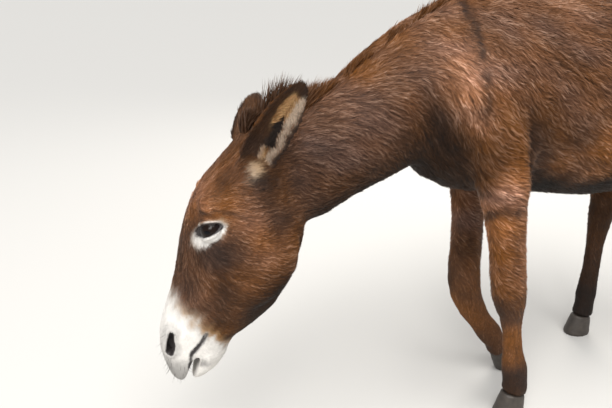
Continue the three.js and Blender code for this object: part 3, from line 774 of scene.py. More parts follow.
def markings(points, normals, part, relief):
    """Pale, dark, warm, light and bare skin at every point. Painted shade in hollows, painted light on
    ridges.
    """
    names = PART_NAMES[part]
    places = head_places(points)
    wild = ripple(points, 0.02, 5) * 5 + ripple(points, 0.006, 6) * 2.5
    light, warm = tone_and_painted_light_of_coat(points)
    # painted shade in the hollows of the relief and painted light on its ridges
    light = light * np.clip(1 + 0.11 * relief, 0.45, 1.35)
    none = np.zeros(len(points))
    marks = {"pale": none, "dark": none, "warm": warm, "light": light, "bare": none}
    mark_face(places, names, wild, marks)
    tuft = mark_under_ears(places, names, wild, marks)
    mark_eyes(points, wild, marks)
    mark_trunk(points, normals, names, wild, marks)
    mark_forelegs(points, normals, names, wild, marks)
    faded = 1 - ease(0.3, 0.85, marks["pale"]) * (tuft < 0.05) * np.isin(names, FACE)
    marks["warm"] = warm * faded
    # painted shade on the undersides of the trunk and head, where the hair is not pale
    underside_shade = ease(0.05, -0.75, normals[:, 2]) * np.isin(names, [*TRUNK, "head"])
    marks["light"] = light * (1 - 0.8 * underside_shade * (marks["pale"] < 0.3))
    mark_ears(points, normals, names, wild, marks)
    return marks


# ---- Lie of the coat ----------------------------------------------------------------------------------
# The same places, then the direction in which the hair lies, on the head and on the left of the body
HEAD_LIE = {
    "forehead": [(20, 20, -10, -0.6, 0.3, 0.4), (90, 18, -52, -0.8, 0.3, 0), (140, 12, -74, -0.3, 0.6, 0)],
    "nose": [
        (175, 20, -80, 0.8, 0.5, 0), (250, 15, -80, 1, 0.1, 0), (330, 15, -78, 1, 0.05, 0),
        (420, 25, -78, 1, 0.05, 0),
    ],
    "lips": [
        (490, 20, -50, 0.7, 0, 0.5), (450, 48, -30, 0.8, 0, 0.45), (400, 52, 0, 0.6, 0, 0.7),
        (340, 58, 0, 0.55, 0, 0.8),
    ],
    "cheek": [(300, 66, 40, 0.25, 0, 1), (260, 70, -20, 0.6, 0, 0.7), (215, 72, -55, 0.7, 0.3, 0.3)],
    "eye": [(155, 76, -60, -0.3, 0.4, 0.6), (160, 84, 10, -0.05, 0, 1), (215, 80, 20, 0.15, 0, 1)],
    "jaw": [
        (230, 76, 90, 0.0, 0, 1), (300, 60, 110, -0.2, 0, 1), (180, 80, 100, -0.3, 0, 1),
        (100, 74, 40, -0.35, 0, 1),
    ],
    "throat": [(250, 15, 158, -0.9, 0, 0.3), (360, 15, 120, -0.7, 0, 0.6)],
    "chin": [(450, 30, 55, -0.3, 0, 0.8), (490, 20, 30, 0.2, 0, 0.8)],
}
BODY_LIE = {
    "neck": [
        (-0.6, -0.05, 0.77, 0.9, 0, 0.2), (-0.55, -0.07, 0.68, 0.75, 0, -0.5),
        (-0.45, -0.08, 0.78, 0.8, 0, -0.45), (-0.5, -0.05, 0.62, 0.9, 0, 0.1),
        (-0.35, -0.1, 0.8, 0.75, 0, -0.6), (-0.3, -0.06, 0.64, 0.9, 0, -0.1),
        (-0.4, 0, 0.86, 0.85, 0, 0.35),
    ],
    "neck_base": [
        (-0.25, -0.12, 0.9, 0.7, 0, -0.65), (-0.3, -0.12, 0.7, 0.6, 0, -0.7), (-0.32, 0, 0.72, 0.2, 0, -1),
    ],
    "shoulder": [
        (-0.25, -0.17, 0.78, 0.5, 0, -0.85), (-0.24, -0.05, 0.6, 0.5, 0, -0.8),
        (-0.15, -0.18, 0.9, 0.65, 0, -0.75), (-0.17, -0.19, 0.75, 0.75, 0, -0.6),
        (-0.16, -0.17, 0.64, 0.95, 0, -0.15), (-0.08, -0.17, 0.6, 0.9, 0, -0.4),
    ],
    "ribs": [
        (-0.1, 0, 1.05, 1, 0, 0), (-0.02, -0.19, 0.8, 0.75, 0, -0.65), (0.0, -0.18, 0.65, 0.9, 0, -0.3),
    ],
    "barrel": [
        (0.15, -0.15, 0.97, 0.75, 0, -0.6), (0.2, -0.2, 0.78, 0.72, 0, -0.7), (0.2, 0, 1.02, 1, 0, 0),
        (0.2, -0.1, 0.55, 1, 0, -0.05), (0.4, -0.2, 0.75, 0.7, 0, -0.6), (0.42, -0.16, 0.6, 0.7, 0, 0.5),
    ],
    "rump": [
        (0.45, 0, 1.03, 1, 0, 0), (0.55, -0.17, 0.88, 0.6, 0, -0.8), (0.7, 0, 0.98, 0.8, 0, -0.6),
        (0.62, -0.18, 0.7, 0.3, 0, -1), (0.76, -0.08, 0.85, 0.3, 0, -1),
    ],
    "thigh": [(0.6, -0.17, 0.58, 0.3, 0, -1), (0.66, -0.13, 0.48, 0.3, 0, -1)],
    "hind_leg": [(0.7, -0.1, 0.35, 0, 0, -1), (0.7, -0.1, 0.15, 0, 0, -1)],
    "forearm": [
        (-0.13, -0.13, 0.54, 0.95, 0, -0.35), (-0.08, -0.11, 0.45, 0.9, 0, -0.45),
        (-0.09, -0.11, 0.37, 0.9, 0, -0.5),
    ],
    "fore_cannon": [
        (-0.05, -0.1, 0.31, 0.5, 0, -0.85), (-0.03, -0.1, 0.2, 0.1, 0, -1), (-0.01, -0.1, 0.1, 0.1, 0, -1),
    ],
    "tail": [(0.81, 0, 0.8, 0, 0, -1), (0.82, 0, 0.66, 0, 0, -1)],
}


def lie_of_coat(points, normals, part, table):
    """The direction in which the coat lies at every point."""
    lie = from_tables(points, HEAD_LIE, BODY_LIE, 0.012, ways=True)
    names = PART_NAMES[part]
    for side in SIDES:
        ear = EARS[side]
        axis = unit(np.array(ear["tip"], float) - ear["base"]) @ HEAD_AXES
        lie = np.where((names == "ear_" + side)[:, None], axis, lie)
    lie = unit(lie - normals * (lie * normals).sum(1, keepdims=True))
    lie = relax(lie, table, np.full(len(points), 0.9), ROUNDS["lie"])
    return unit(lie - normals * (lie * normals).sum(1, keepdims=True))


# ---- Coat ---------------------------------------------------------------------------------------------
# pieces of the coat: the parts they cover, how many tufts, and the material slot
COATS = {
    "coat_face": (("head", "eye_"), 66000, "coat_brown"),
    "coat_muzzle": (("muzzle", "chin"), 30000, "coat_pale"),
    "coat_ears": (("ear_left", "ear_right"), 14000, "coat_dark"),
    "coat_neck": (("neck",), 64000, "coat_brown"),
    "coat_chest": (("chest",), 66000, "coat_brown"),
    "coat_barrel": (("barrel",), 52000, "coat_brown"),
    "coat_hindquarters": (("hindquarters",), 44000, "coat_brown"),
    "coat_upper_legs": (("forearm_", "thigh_"), 56000, "coat_brown"),
    "coat_lower_legs": (("cannon_fore_", "cannon_hind_"), 40000, "coat_grey"),
    "coat_dock": (("tail_dock",), 6000, "coat_dark"),
}
BLADE = np.array([[0, 1, 3], [0, 3, 2], [2, 3, 4]])  # a tuft: two points at its root, two in its middle, tip
CARRIED = ["pale", "dark", "warm", "light", "bare"]  # markings that every hair takes from the skin
LOCK = 5  # tufts that gather into one lock
GATHER = 0.32  # how far the tips of a lock are drawn together
PATCH = 0.003  # size of each tuft's patch on its unwrap
PATCHES_IN_ROW = 60  # for long hair, whose patches stand in rows
PATCH_CORNERS = np.array([[0, 0], [1, 0], [0.1, 0.5], [0.9, 0.5], [0.5, 1]]) * PATCH


def around_and_along(points, names):
    """An unwrap of each part of the skin: the angle round its own long axis, and the way along it."""
    out = np.zeros((len(points), 2))
    owners = sorted(set(names))
    for i, name in enumerate(owners):
        here = names == name
        local = points[here] - points[here].mean(0)
        axes = np.linalg.svd(local[:: max(1, len(local) // 4000)], full_matrices=False)[2]
        local = local @ axes.T
        angle = np.arctan2(local[:, 2], local[:, 1]) / math.tau + 0.5
        along = (local[:, 0] - local[:, 0].min()) / np.ptp(local[:, 0])
        out[here, 0] = (i + 0.02 + 0.96 * angle * (1 - PATCH * 8)) / len(owners)
        out[here, 1] = 0.01 + 0.97 * along
    return out


def add_patches(mesh, roots_on_unwrap, corners, faces):
    """Gives every tuft a small patch of its own at its root's place."""
    layer = mesh.uv_layers.new(name="OFBake")
    spots = (roots_on_unwrap[:, None, :] + corners[None]).reshape(-1, 2)
    layer.data.foreach_set("uv", spots[faces.ravel()].astype(np.float32).ravel())


def scatter(skin, chosen, count, seed):
    """Roots spread evenly over the chosen triangles, with all that the skin knows at each."""
    rng = np.random.default_rng(seed)
    faces = skin["faces"][chosen]
    corner = skin["points"][faces]
    area = np.linalg.norm(np.cross(corner[:, 1] - corner[:, 0], corner[:, 2] - corner[:, 0]), axis=1)
    total = np.cumsum(area * skin["close"][faces].mean(1))
    pick = np.searchsorted(total, (np.arange(count) + rng.random(count)) / count * total[-1])
    pick = np.minimum(pick, len(faces) - 1)
    a, b = rng.random((2, count))
    fold = a + b > 1
    a[fold], b[fold] = 1 - a[fold], 1 - b[fold]
    share = np.stack([1 - a - b, a, b], 1)
    roots = {key: np.einsum("nk,nk...->n...", share, skin[key][faces[pick]]) for key in skin["mixed"]}
    return rng, roots, faces[pick][:, 0]


def nearest_leader(spot):
    """For each tuft the index of the tuft that it leans to, one in LOCK, so that the coat lies in locks."""
    leaders = np.arange(0, len(spot), LOCK)
    tree = KDTree(len(leaders))
    for i, place in enumerate(spot[leaders].tolist()):
        tree.insert(place, i)
    tree.balance()
    return leaders[[tree.find(place)[1] for place in spot.tolist()]]


# How tufts differ from the length, width and rise of their part: the smallest and the largest share
LENGTHS, WIDTHS, RISES = (0.72, 1.25), (0.7, 1.25), (0.45, 1.0)
TURN, ROLL, SWAY = 0.09, 0.25, 0.07  # how widely single tufts turn in the lie, roll and bend aside
STREAK_TONE, STRAND_TONE = 0.14, 0.07  # how much fine and broad streaks lighten and darken the coat
LOCK_TONE, TUFT_TONE = 0.05, 0.08  # and locks and single tufts
ROOT_DEPTH = 0.4 * MM


def grow_coat(name, skin, parts, count, slot, seed, material):
    """One piece of the coat: flat three-sided tufts that lie down, gather into locks and differ in tone."""
    wanted = [PARTS.index(part) for both in parts for part in both_sides(both)]
    chosen = np.isin(skin["part"][skin["faces"][:, 0]], wanted)
    rng, root, corner = scatter(skin, chosen, count, seed)
    shown = root["bare"] < 0.55 + 0.3 * rng.random(count)
    root = {key: values[shown] for key, values in root.items()}
    corner = corner[shown]
    count = len(corner)
    normal = unit(root["normals"])
    lie = unit(root["lie"] - normal * (root["lie"] * normal).sum(1, keepdims=True))
    spot = root["points"]
    turn = 0.20 * ripple(spot, 0.03, 21) + 0.12 * ripple(spot, 0.009, 22) + rng.normal(0, TURN, count)
    across = np.cross(normal, lie)
    lie = lie * np.cos(turn)[:, None] + across * np.sin(turn)[:, None]
    across = np.cross(normal, lie)
    length = root["length"] * rng.uniform(*LENGTHS, count) * MM
    width = root["width"] * rng.uniform(*WIDTHS, count) * MM
    rise = root["rise"] * rng.uniform(*RISES, count) * MM
    leader = nearest_leader(spot)
    fine = root["width"] / WIDTH[PARTS.index("chest")]
    streak = streaks(spot, lie, 0.0065, 0.009, 31)
    tone = LOCK_TONE * rng.normal(0, 1, count)[leader] + STRAND_TONE * streaks(spot, lie, 0.017, 0.026, 32)
    tone = STREAK_TONE * streak + tone + rng.normal(0, TUFT_TONE, count)
    tone = np.clip(0.5 + tone * (0.62 + 0.38 * fine), 0, 1)
    rise = rise * np.clip(1 + 0.35 * streak, 0.4, 1.8)
    roll = rng.normal(0, ROLL, count)
    wide = across * np.cos(roll)[:, None] + normal * np.sin(roll)[:, None]
    sway = across * (rng.normal(0, SWAY, count) * length)[:, None]
    half = wide * (width / 2)[:, None]
    base = spot - normal * ROOT_DEPTH
    middle = spot + lie * (0.5 * length)[:, None] + normal * (0.62 * rise)[:, None]
    tip = spot + lie * length[:, None] + normal * rise[:, None] + sway
    head = spot[leader] + lie[leader] * length[leader, None] + normal[leader] * (1.25 * rise[leader, None])
    near = np.linalg.norm(head - tip, axis=1) < 0.9 * length
    tip = tip + (head - tip) * (GATHER * near)[:, None]
    middle = middle + (head - tip) * (0.12 * near)[:, None]
    points = np.stack([base - half, base + half, middle - half * 0.85, middle + half * 0.85, tip], 1)
    faces = (np.arange(count)[:, None, None] * 5 + BLADE).reshape(-1, 3)
    mesh = build_mesh(name, points.reshape(-1, 3), faces)
    for key in CARRIED:
        give(mesh, key, np.repeat(root[key], 5))
    give(mesh, "tone", np.repeat(tone, 5))
    give(mesh, "tip", np.tile([0.0, 0.0, 0.5, 0.5, 1.0], count))
    names = PART_NAMES[skin["part"][corner]]
    add_patches(mesh, around_and_along(spot, names), PATCH_CORNERS, faces)
    settle(name, mesh, material, slot)


# ---- Long hair ----------------------------------------------------------------------------------------
def strands(name, routes, widths, wide, material, slot, marks, *solids):
    """Tapered ribbons along routes of equal count, turned so that wide is their flat direction."""
    count, steps = len(routes), routes.shape[1] - 1
    taper = 1 - 0.75 * np.linspace(0, 1, steps + 1) ** 1.6
    half = wide[:, None, :] * (widths[:, None, None] / 2) * taper[None, :, None]
    pairs = np.stack([routes - half, routes + half], 2)[:, :-1].reshape(count, -1, 3)
    points = np.concatenate([pairs, routes[:, -1:]], 1)
    rows = []
    for k in range(steps - 1):
        rows += [[2 * k, 2 * k + 1, 2 * k + 3], [2 * k, 2 * k + 3, 2 * k + 2]]
    rows.append([2 * steps - 2, 2 * steps - 1, 2 * steps])
    each = points.shape[1]
    faces = (np.arange(count)[:, None, None] * each + np.array(rows)).reshape(-1, 3)
    mesh = build_mesh(name, points.reshape(-1, 3), faces)
    way = np.append(np.repeat(np.linspace(0, 1, steps + 1)[:-1], 2), 1.0)
    give(mesh, "tip", np.tile(way, count))
    for key in [*CARRIED, "tone"]:
        give(mesh, key, np.repeat(np.broadcast_to(marks.get(key, 0.0), count), each))
    corners = np.stack([np.tile([0.0, PATCH], steps + 1)[:each], way * PATCH], 1)
    across, down = np.arange(count) % PATCHES_IN_ROW, np.arange(count) // PATCHES_IN_ROW
    rows = count / PATCHES_IN_ROW + 1
    add_patches(mesh, 0.01 + 0.97 * np.stack([across / PATCHES_IN_ROW, down / rows], 1), corners, faces)
    settle(name, mesh, material, slot, *solids)


def bent_routes(root, way, droop, length, steps):
    """Routes that leave their roots along way and bend towards droop."""
    t = np.linspace(0, 1, steps + 1)[None, :, None]
    reach = length[:, None, None]
    return root[:, None] + (way[:, None] * t + droop[:, None] * t**2 * 0.5) * reach


MANE_HAIRS, SWITCH_HAIRS, EAR_HAIRS, LASHES, WHISKERS = 7400, 3000, 2400, 90, 150


def grow_mane(skin, material):
    """Short upright hair along the crest, taller between the ears."""
    rng = np.random.default_rng(51)
    ridge = points_of(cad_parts["mane"].data)
    edges = np.linspace(ridge[:, 0].min(), ridge[:, 0].max(), 26)
    middles = (edges[:-1] + edges[1:]) / 2
    tops = [ridge[np.abs(ridge[:, 0] - x) <= (edges[1] - edges[0]) / 2 + 0.02, 2].max() for x in middles]
    share = rng.random(MANE_HAIRS) ** 1.8
    x = edges[0] + 0.006 + share * (edges[-1] - edges[0] - 0.02)
    x += 0.004 * ripple(np.stack([x, x * 0, x * 0], 1), 0.016, 53)
    y = ridge[:, 1].mean() * np.clip((x - edges[-1]) / (edges[0] - edges[-1]), 0, 1)
    y += rng.normal(0, 0.0045, MANE_HAIRS)
    top = np.interp(x, middles, tops)
    root, kept = [], []
    for i in range(MANE_HAIRS):
        place = skin["tree"].ray_cast(Vector((x[i], y[i], 2.0)), Vector((0, 0, -1)))[0]
        if place and top[i] - place.z > 0.004:
            root.append(place)
            kept.append(i)
    root, kept = np.array(root), np.array(kept)
    count = len(kept)
    front = ease(-0.50, -0.62, root[:, 0])
    poll = ease(-0.52, -0.57, root[:, 0])
    height = (top[kept] - root[:, 2]) * rng.uniform(0.6 + 0.25 * poll, 0.95 + 0.4 * poll)
    clump = ripple(root, 0.018, 54)
    height *= np.clip(0.88 + 0.3 * clump, 0.45, 1.1) * (1 - 0.5 * ease(-0.625, -0.64, root[:, 0]))
    way = np.stack([0.28 - 0.35 * front + 0.14 * clump, rng.normal(0, 0.2, count), np.ones(count)], 1)
    way = unit(way + rng.normal(0, 0.1, way.shape))
    droop = np.stack([np.full(count, 0.35), rng.normal(0, 0.25, count), np.full(count, -0.2)], 1)
    routes = bent_routes(root - [0, 0, 0.002], way, droop, height + 0.003, 4)
    wide = unit(np.cross(way, rng.normal(size=way.shape)))
    tone = np.clip(0.45 + 0.2 * clump + rng.normal(0, 0.12, count), 0, 1)
    marks = {"dark": 0.75 - 0.6 * (1 - front), "warm": 0.9, "light": 1.15, "tone": tone}
    widths = rng.uniform(0.8, 1.5, count) * (1 + 1.2 * poll) * MM
    strands("mane_hair", routes, widths, wide, material, "coat_dark", marks, "mane")


SWITCH_RADIUS = 0.027


def grow_switch(material):
    """The long hair at the end of the tail, which hangs in a narrow brush."""
    rng = np.random.default_rng(61)
    low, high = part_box("tail_switch")
    middle = (low + high) / 2
    count, steps = SWITCH_HAIRS, 9
    z0 = rng.uniform(high.z - 0.12, high.z + 0.03, count)
    z1 = low.z + (high.z - low.z) * rng.beta(1.3, 3.2, count) * 0.8
    angle = rng.uniform(0, math.tau, count)
    spread = np.sqrt(rng.random(count))
    t = np.linspace(0, 1, steps + 1)[None, :]
    z = z0[:, None] + (z1 - z0)[:, None] * t
    level = (z - low.z) / (high.z - low.z)
    swell = np.sin(np.clip(level * 1.25, 0, 1.25) * 2.2) ** 0.6 * 0.75 + 0.25
    radius = SWITCH_RADIUS * np.clip(swell, 0.2, 1) * ease(-0.05, 0.35, level)
    lean = (high.x - 0.028) + (low.x - high.x + 0.056) * 0.25 * (1 - level)
    turn = angle[:, None] + 0.5 * np.sin(4 * level + angle[:, None])
    x = lean + radius * spread[:, None] * np.cos(turn)
    y = middle.y + radius * spread[:, None] * np.sin(turn)
    routes = np.stack([x, y, z], 2)
    wide = np.stack([-np.sin(angle), np.cos(angle), np.zeros(count)], 1)
    tone = np.clip(rng.normal(0.5, 0.2, count), 0, 1)
    marks = {"dark": 0.6 * rng.random(count), "warm": 1.0, "light": 0.9, "tone": tone}
    widths = rng.uniform(1.2, 2.4, count) * MM
    strands("tail_hair", routes, widths, wide, material, "tail_hair", marks, "tail_switch")


def grow_ear_hair(skin, side, seed, material):
    """Long pale hair that leans across the hollow of an ear from both of its rims."""
    inside = skin["part"][skin["faces"][:, 0]] == PARTS.index("ear_" + side)
    inside &= skin["pale"][skin["faces"]].mean(1) > 0.18
    count = EAR_HAIRS
    rng, root, _ = scatter(skin, inside, count, seed)
    along, across, _, facing = ear_places(root["points"], side)
    ear = EARS[side]
    axis = unit(np.array(ear["tip"], float) - ear["base"]) @ HEAD_AXES
    aside = np.cross(axis, facing)
    inward = -np.sign(across)[:, None] * aside
    way = unit(0.9 * axis + 0.28 * facing + 0.35 * inward + rng.normal(0, 0.16, (count, 3)))
    keep = (along > 0.02) & (along < 0.85)
    length = rng.uniform(6, 15, count) * MM * (1 - 0.4 * ease(0.5, 1, along))
    droop = 0.2 * inward - 0.15 * facing + rng.normal(0, 0.12, (count, 3))
    routes = bent_routes(root["points"], way, droop, length, 4)[keep]
    wide = unit(np.cross(way, facing + rng.normal(0, 0.4, (count, 3))))[keep]
    tone = np.clip(rng.normal(0.55, 0.27, keep.sum()), 0, 1)
    pale = np.clip(root["pale"] + rng.uniform(-0.1, 0.2, count), 0, 0.9)[keep]
    marks = {"pale": pale, "warm": root["warm"][keep], "light": 1.5, "tone": tone}
    widths = rng.uniform(0.7, 1.4, keep.sum()) * MM
    strands("ear_hair_" + side, routes, widths, wide, material, "coat_pale", marks)


def grow_lashes(side, seed, material):
    """The lashes along the edge of an upper lid."""
    rng = np.random.default_rng(seed)
    gaze, back, brow = EYE_AXES[side]
    count = LASHES
    a = rng.uniform(-20, 23, count)
    b = 13.0 * np.clip(1 - (a / 26) ** 2, 0, 1) ** 0.6 * (1 - 0.012 * a) + 1.2
    out = np.sqrt((EYE_RADIUS / MM + 3.0) ** 2 - a**2 - b**2)
    root = EYE_SPOT[side] + (a[:, None] * back + b[:, None] * brow + out[:, None] * gaze) * MM
    down = np.array([0, 0, -1.0])
    way = unit(gaze + 0.15 * brow + 0.012 * a[:, None] * back + rng.normal(0, 0.1, (count, 3)))
    routes = bent_routes(root, way, np.tile(down * 0.35, (count, 1)), rng.uniform(6, 11, count) * MM, 4)
    wide = unit(np.cross(way, down))
    marks = {"dark": 1.0, "light": 1.0, "tone": 0.2}
    strands("lashes_" + side, routes, np.full(count, 0.45 * MM), wide, material, "coat_dark", marks)


def grow_whiskers(skin, material):
    """Sparse stiff hair round the nostrils and on the chin."""
    near = skin["bare"][skin["faces"]].mean(1) > 0.25
    near &= np.isin(skin["part"][skin["faces"][:, 0]], [PARTS.index("muzzle"), PARTS.index("chin")])
    count = WHISKERS
    rng, root, _ = scatter(skin, near, count, 71)
    normal = unit(root["normals"])
    way = unit(normal + 0.5 * root["lie"] + rng.normal(0, 0.25, (count, 3)))
    droop = np.tile([0, 0, -0.4], (count, 1))
    routes = bent_routes(root["points"], way, droop, rng.uniform(5, 16, count) * MM, 4)
    wide = unit(np.cross(way, rng.normal(size=way.shape)))
    marks = {"dark": 1.0, "light": 1.0, "tone": 0.3}
    strands("whiskers", routes, np.full(count, 0.4 * MM), wide, material, "coat_dark", marks)


def make_mouth_shade_sheet(material):
    """The soft dark sheet that closes the mouth behind its lips: painted shade for the inside of the mouth.
    """
    steps, across = 16, 14
    route = np.array(LIP_LINE, float)
    t, corners = np.linspace(0, 1, steps)[:, None], np.linspace(0, 1, len(route))
    s = np.interp(t, corners, route[:, 0]) - 6
    v = np.interp(t, corners, route[:, 2])
    half = np.interp(t, [0, 0.5, 1], [34, 32, 12])
    y = np.linspace(-1, 1, across)[None]
    sheets = []
    for side in (-1, 1):
        bulge = side * 7 * np.sqrt(np.clip(1 - y**2, 0, 1))
        sheet = np.stack([s - 9 * y**2, half * y, v + bulge * (1 - 0.4 * t)], 2)
        sheets.append(sheet.reshape(-1, 3))
    points = np.concatenate(sheets)
    points[:, 2] += 0.5 * ripple(points, 9, 91)
    cell = np.arange((steps - 1) * across).reshape(steps - 1, across)[:, :-1].ravel()
    quad = np.stack([cell, cell + 1, cell + across + 1, cell + across], 1)
    faces = np.concatenate([quad[:, ::-1], quad + steps * across])
    settle("mouth_shade_sheet", build_mesh("mouth_shade_sheet", from_head(points), faces), material, "coat_dark")


# ---- Eyes and hooves ----------------------------------------------------------------------------------
CORNEA = (15, 12.5)  # half axes in millimetres
CORNEA_RISE = 1.1
PUPIL = (6.5, 3.4)  # half axes, the long one level
IRIS = (15.5, 12.5)
HOOF_VOXEL = 2.6 * MM
HOOF_RINGS = 0.0042  # height of a ring of growth over a radian of its wave


def make_eye(side, material):
    """A dark wet ball with a raised cornea and a level oval pupil."""
    gaze, back, brow = EYE_AXES[side]
    work = bmesh.new()
    bmesh.ops.create_uvsphere(work, u_segments=72, v_segments=48, radius=EYE_RADIUS)
    mesh = bpy.data.meshes.new("eyeball_" + side)
    work.to_mesh(mesh)
    work.free()
    local = points_of(mesh)
    a, b, out = local.T / MM
    out = out + CORNEA_RISE * ease(-0.5, 1, 1 - np.hypot(a / CORNEA[0], b / CORNEA[1])) * (out > 0)
    move_points(mesh, EYE_SPOT[side] + np.stack([a, b, out], 1) * MM @ np.array([back, brow, gaze]))
    if np.linalg.det([back, brow, gaze]) < 0:
        mesh.flip_normals()
    level = unit(np.array([0, 0, 1.0]) - gaze * gaze[2])
    flat = np.cross(gaze, level)
    seen = (points_of(mesh) - EYE_SPOT[side]) / MM
    pupil = np.hypot(seen @ flat / PUPIL[0], seen @ level / PUPIL[1])
    give(mesh, "pupil", (1 - ease(0.85, 1.1, pupil)) * (out > 0))
    give(mesh, "iris", (1 - ease(0.9, 1.12, np.hypot(a / IRIS[0], b / IRIS[1]))) * (out > 0))
    settle("eyeball_" + side, with_smooth_faces(mesh), material, "eye", "eye_" + side)


def make_hoof(name, material):
    """A hoof with rounded edges and faint rings of growth."""
    settings = {"mode": "VOXEL", "voxel_size": HOOF_VOXEL}
    mesh = with_modifier(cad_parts[name].data.copy(), "REMESH", settings)
    points = points_of(mesh)
    free = ease(0.0, 0.004, points[:, 2])
    points = relax(points, neighbours_of(mesh), free * 0.8, ROUNDS["hoof"])
    move_points(mesh, points)
    normals = normals_of(mesh)
    rings = 0.25 * np.sin(points[:, 2] / HOOF_RINGS + 0.8 * ripple(points, 0.03, 81))
    rings += 0.12 * ripple(points, 0.012, 82)
    points = points + normals * (rings * free * (1 - np.abs(normals[:, 2])) * MM)[:, None]
    points[:, 2] = np.maximum(points[:, 2], 0)
    move_points(mesh, points)
    mesh.materials.clear()
    settle("horn_" + name, with_smooth_faces(mesh), material, "hoof", name)


# ---- Materials ----------------------------------------------------------------------------------------
COLOURS = {
    "Brown": (0.088, 0.044, 0.029),
    "Rust": (0.125, 0.043, 0.006),
    "Frosted": (0.20, 0.135, 0.10),
    "Dark": (0.014, 0.008, 0.006),
    "Pale": (0.83, 0.80, 0.76),
    "Cream": (0.74, 0.47, 0.22),
    "Bare": (0.028, 0.023, 0.023),
}


SHEEN_COLOUR = (0.95, 0.82, 0.72, 1)
EYE_COLOURS = {
    "ball": (0.008, 0.005, 0.005, 1),
    "iris": (0.011, 0.006, 0.004, 1),
    "pupil": (0.002, 0.002, 0.003, 1),
}
# near black: painted shade inside the mouth
MOUTH_SHADE_COLOURS = [(0.008, 0.005, 0.005, 1), (0.03, 0.014, 0.012, 1)]
HORN_COLOURS = [(0.018, 0.015, 0.013, 1), (0.075, 0.06, 0.048, 1)]
FLOOR_COLOURS = [(0.55, 0.54, 0.52, 1), (0.58, 0.57, 0.55, 1)]


class Nodes:
    """Short ways to place and join nodes in one tree."""

    def __init__(self, tree):
        self.tree = tree

    def add(self, kind, **settings):
        node = self.tree.nodes.new(kind)
        for key, value in settings.items():
            setattr(node, key, value)
        return node

    def feed(self, socket, value):
        if isinstance(value, bpy.types.NodeSocket):
            self.tree.links.new(value, socket)
        else:
            socket.default_value = value

    def number(self, operation, *values, clamp=False):
        node = self.add("ShaderNodeMath", operation=operation, use_clamp=clamp)
        for socket, value in zip(node.inputs, values):
            self.feed(socket, value)
        return node.outputs[0]

    def blend(self, share, one, other, how="MIX"):
        node = self.add("ShaderNodeMix", data_type="RGBA", blend_type=how)
        self.feed(node.inputs[0], share)
        self.feed(node.inputs[6], one)
        self.feed(node.inputs[7], other)
        return node.outputs[2]

    def even_grey(self, value):
        """A grey as light as the value."""
        node = self.add("ShaderNodeCombineColor")
        for socket in node.inputs:
            self.feed(socket, value)
        return node.outputs[0]

    def mark(self, name):
        """What the mesh stores under a name at each point."""
        return self.add("ShaderNodeAttribute", attribute_name=name).outputs["Fac"]


def new_group(name, inputs, outputs):
    """A group of nodes with named inputs and outputs."""
    group = bpy.data.node_groups.new(name, "ShaderNodeTree")
    for title, kind, value in inputs:
        socket = group.interface.new_socket(title, in_out="INPUT", socket_type=kind)
        socket.default_value = value
    for title, kind in outputs:
        group.interface.new_socket(title, in_out="OUTPUT", socket_type=kind)
    nodes = Nodes(group)
    return group, nodes, nodes.add("NodeGroupInput").outputs, nodes.add("NodeGroupOutput").inputs


def coat_colour_group():
    """The colour of fur from the markings that skin and coat both carry."""
    inputs = [(name, "NodeSocketColor", (*value, 1)) for name, value in COLOURS.items()]
    outputs = [("Color", "NodeSocketColor"), ("Bare", "NodeSocketFloat")]
    group, n, given, out = new_group("coat_colour", inputs, outputs)
    tone, tip = n.mark("tone"), n.mark("tip")
    colour = n.blend(n.mark("warm"), given["Brown"], given["Rust"])
    frost = n.number("MULTIPLY", n.number("MULTIPLY_ADD", tone, 1.5, -0.75, clamp=True), tip)
    colour = n.blend(frost, colour, given["Frosted"])
    # the light mark holds the coat's own tone together with painted light and shade
    shade = n.number("MULTIPLY", n.number("MULTIPLY_ADD", tone, 1.5, 0.25), n.mark("light"))
    shade = n.number("MULTIPLY", shade, n.number("MULTIPLY_ADD", tip, 0.5, 0.68))
    colour = n.blend(1.0, colour, n.even_grey(shade), "MULTIPLY")
    colour = n.blend(n.mark("dark"), colour, given["Dark"])
    pale_hair = n.blend(n.mark("warm"), given["Pale"], given["Cream"])
    faint = n.even_grey(n.number("MULTIPLY_ADD", tone, 0.4, 0.70))
    colour = n.blend(n.mark("pale"), colour, n.blend(1.0, pale_hair, faint, "MULTIPLY"))
    colour = n.blend(n.mark("bare"), colour, given["Bare"])
    n.feed(out["Color"], colour)
    n.feed(out["Bare"], n.mark("bare"))
    return group


def fine_grain_group():
    """Height of a fine uneven grain."""
    inputs = [("Scale", "NodeSocketFloat", 300.0), ("Detail", "NodeSocketFloat", 3.0)]
    group, n, given, out = new_group("fine_grain", inputs, [("Height", "NodeSocketFloat")])
    place = n.add("ShaderNodeTexCoord").outputs["Object"]
    noise = n.add("ShaderNodeTexNoise")
    n.feed(noise.inputs["Vector"], place)
    n.feed(noise.inputs["Scale"], given["Scale"])
    n.feed(noise.inputs["Detail"], given["Detail"])
    n.feed(out["Height"], noise.outputs["Fac"])
    return group


def new_material(name, settings):
    """A material, its nodes and the sockets of its shader, some of them set to even values."""
    material = bpy.data.materials.new(name)
    material.use_nodes = True
    sockets = material.node_tree.nodes["Principled BSDF"].inputs
    for title, value in settings.items():
        sockets[title].default_value = value
    return material, Nodes(material.node_tree), sockets


def add_grain(n, grain, shader, scale, depth):
    """Feeds a fine grain into the normal and gives its height."""
    inner = n.add("ShaderNodeGroup", node_tree=grain)
    inner.inputs["Scale"].default_value = scale
    bump = n.add("ShaderNodeBump")
    bump.inputs["Distance"].default_value = depth
    n.feed(bump.inputs["Height"], inner.outputs["Height"])
    n.feed(shader["Normal"], bump.outputs["Normal"])
    return inner.outputs["Height"]


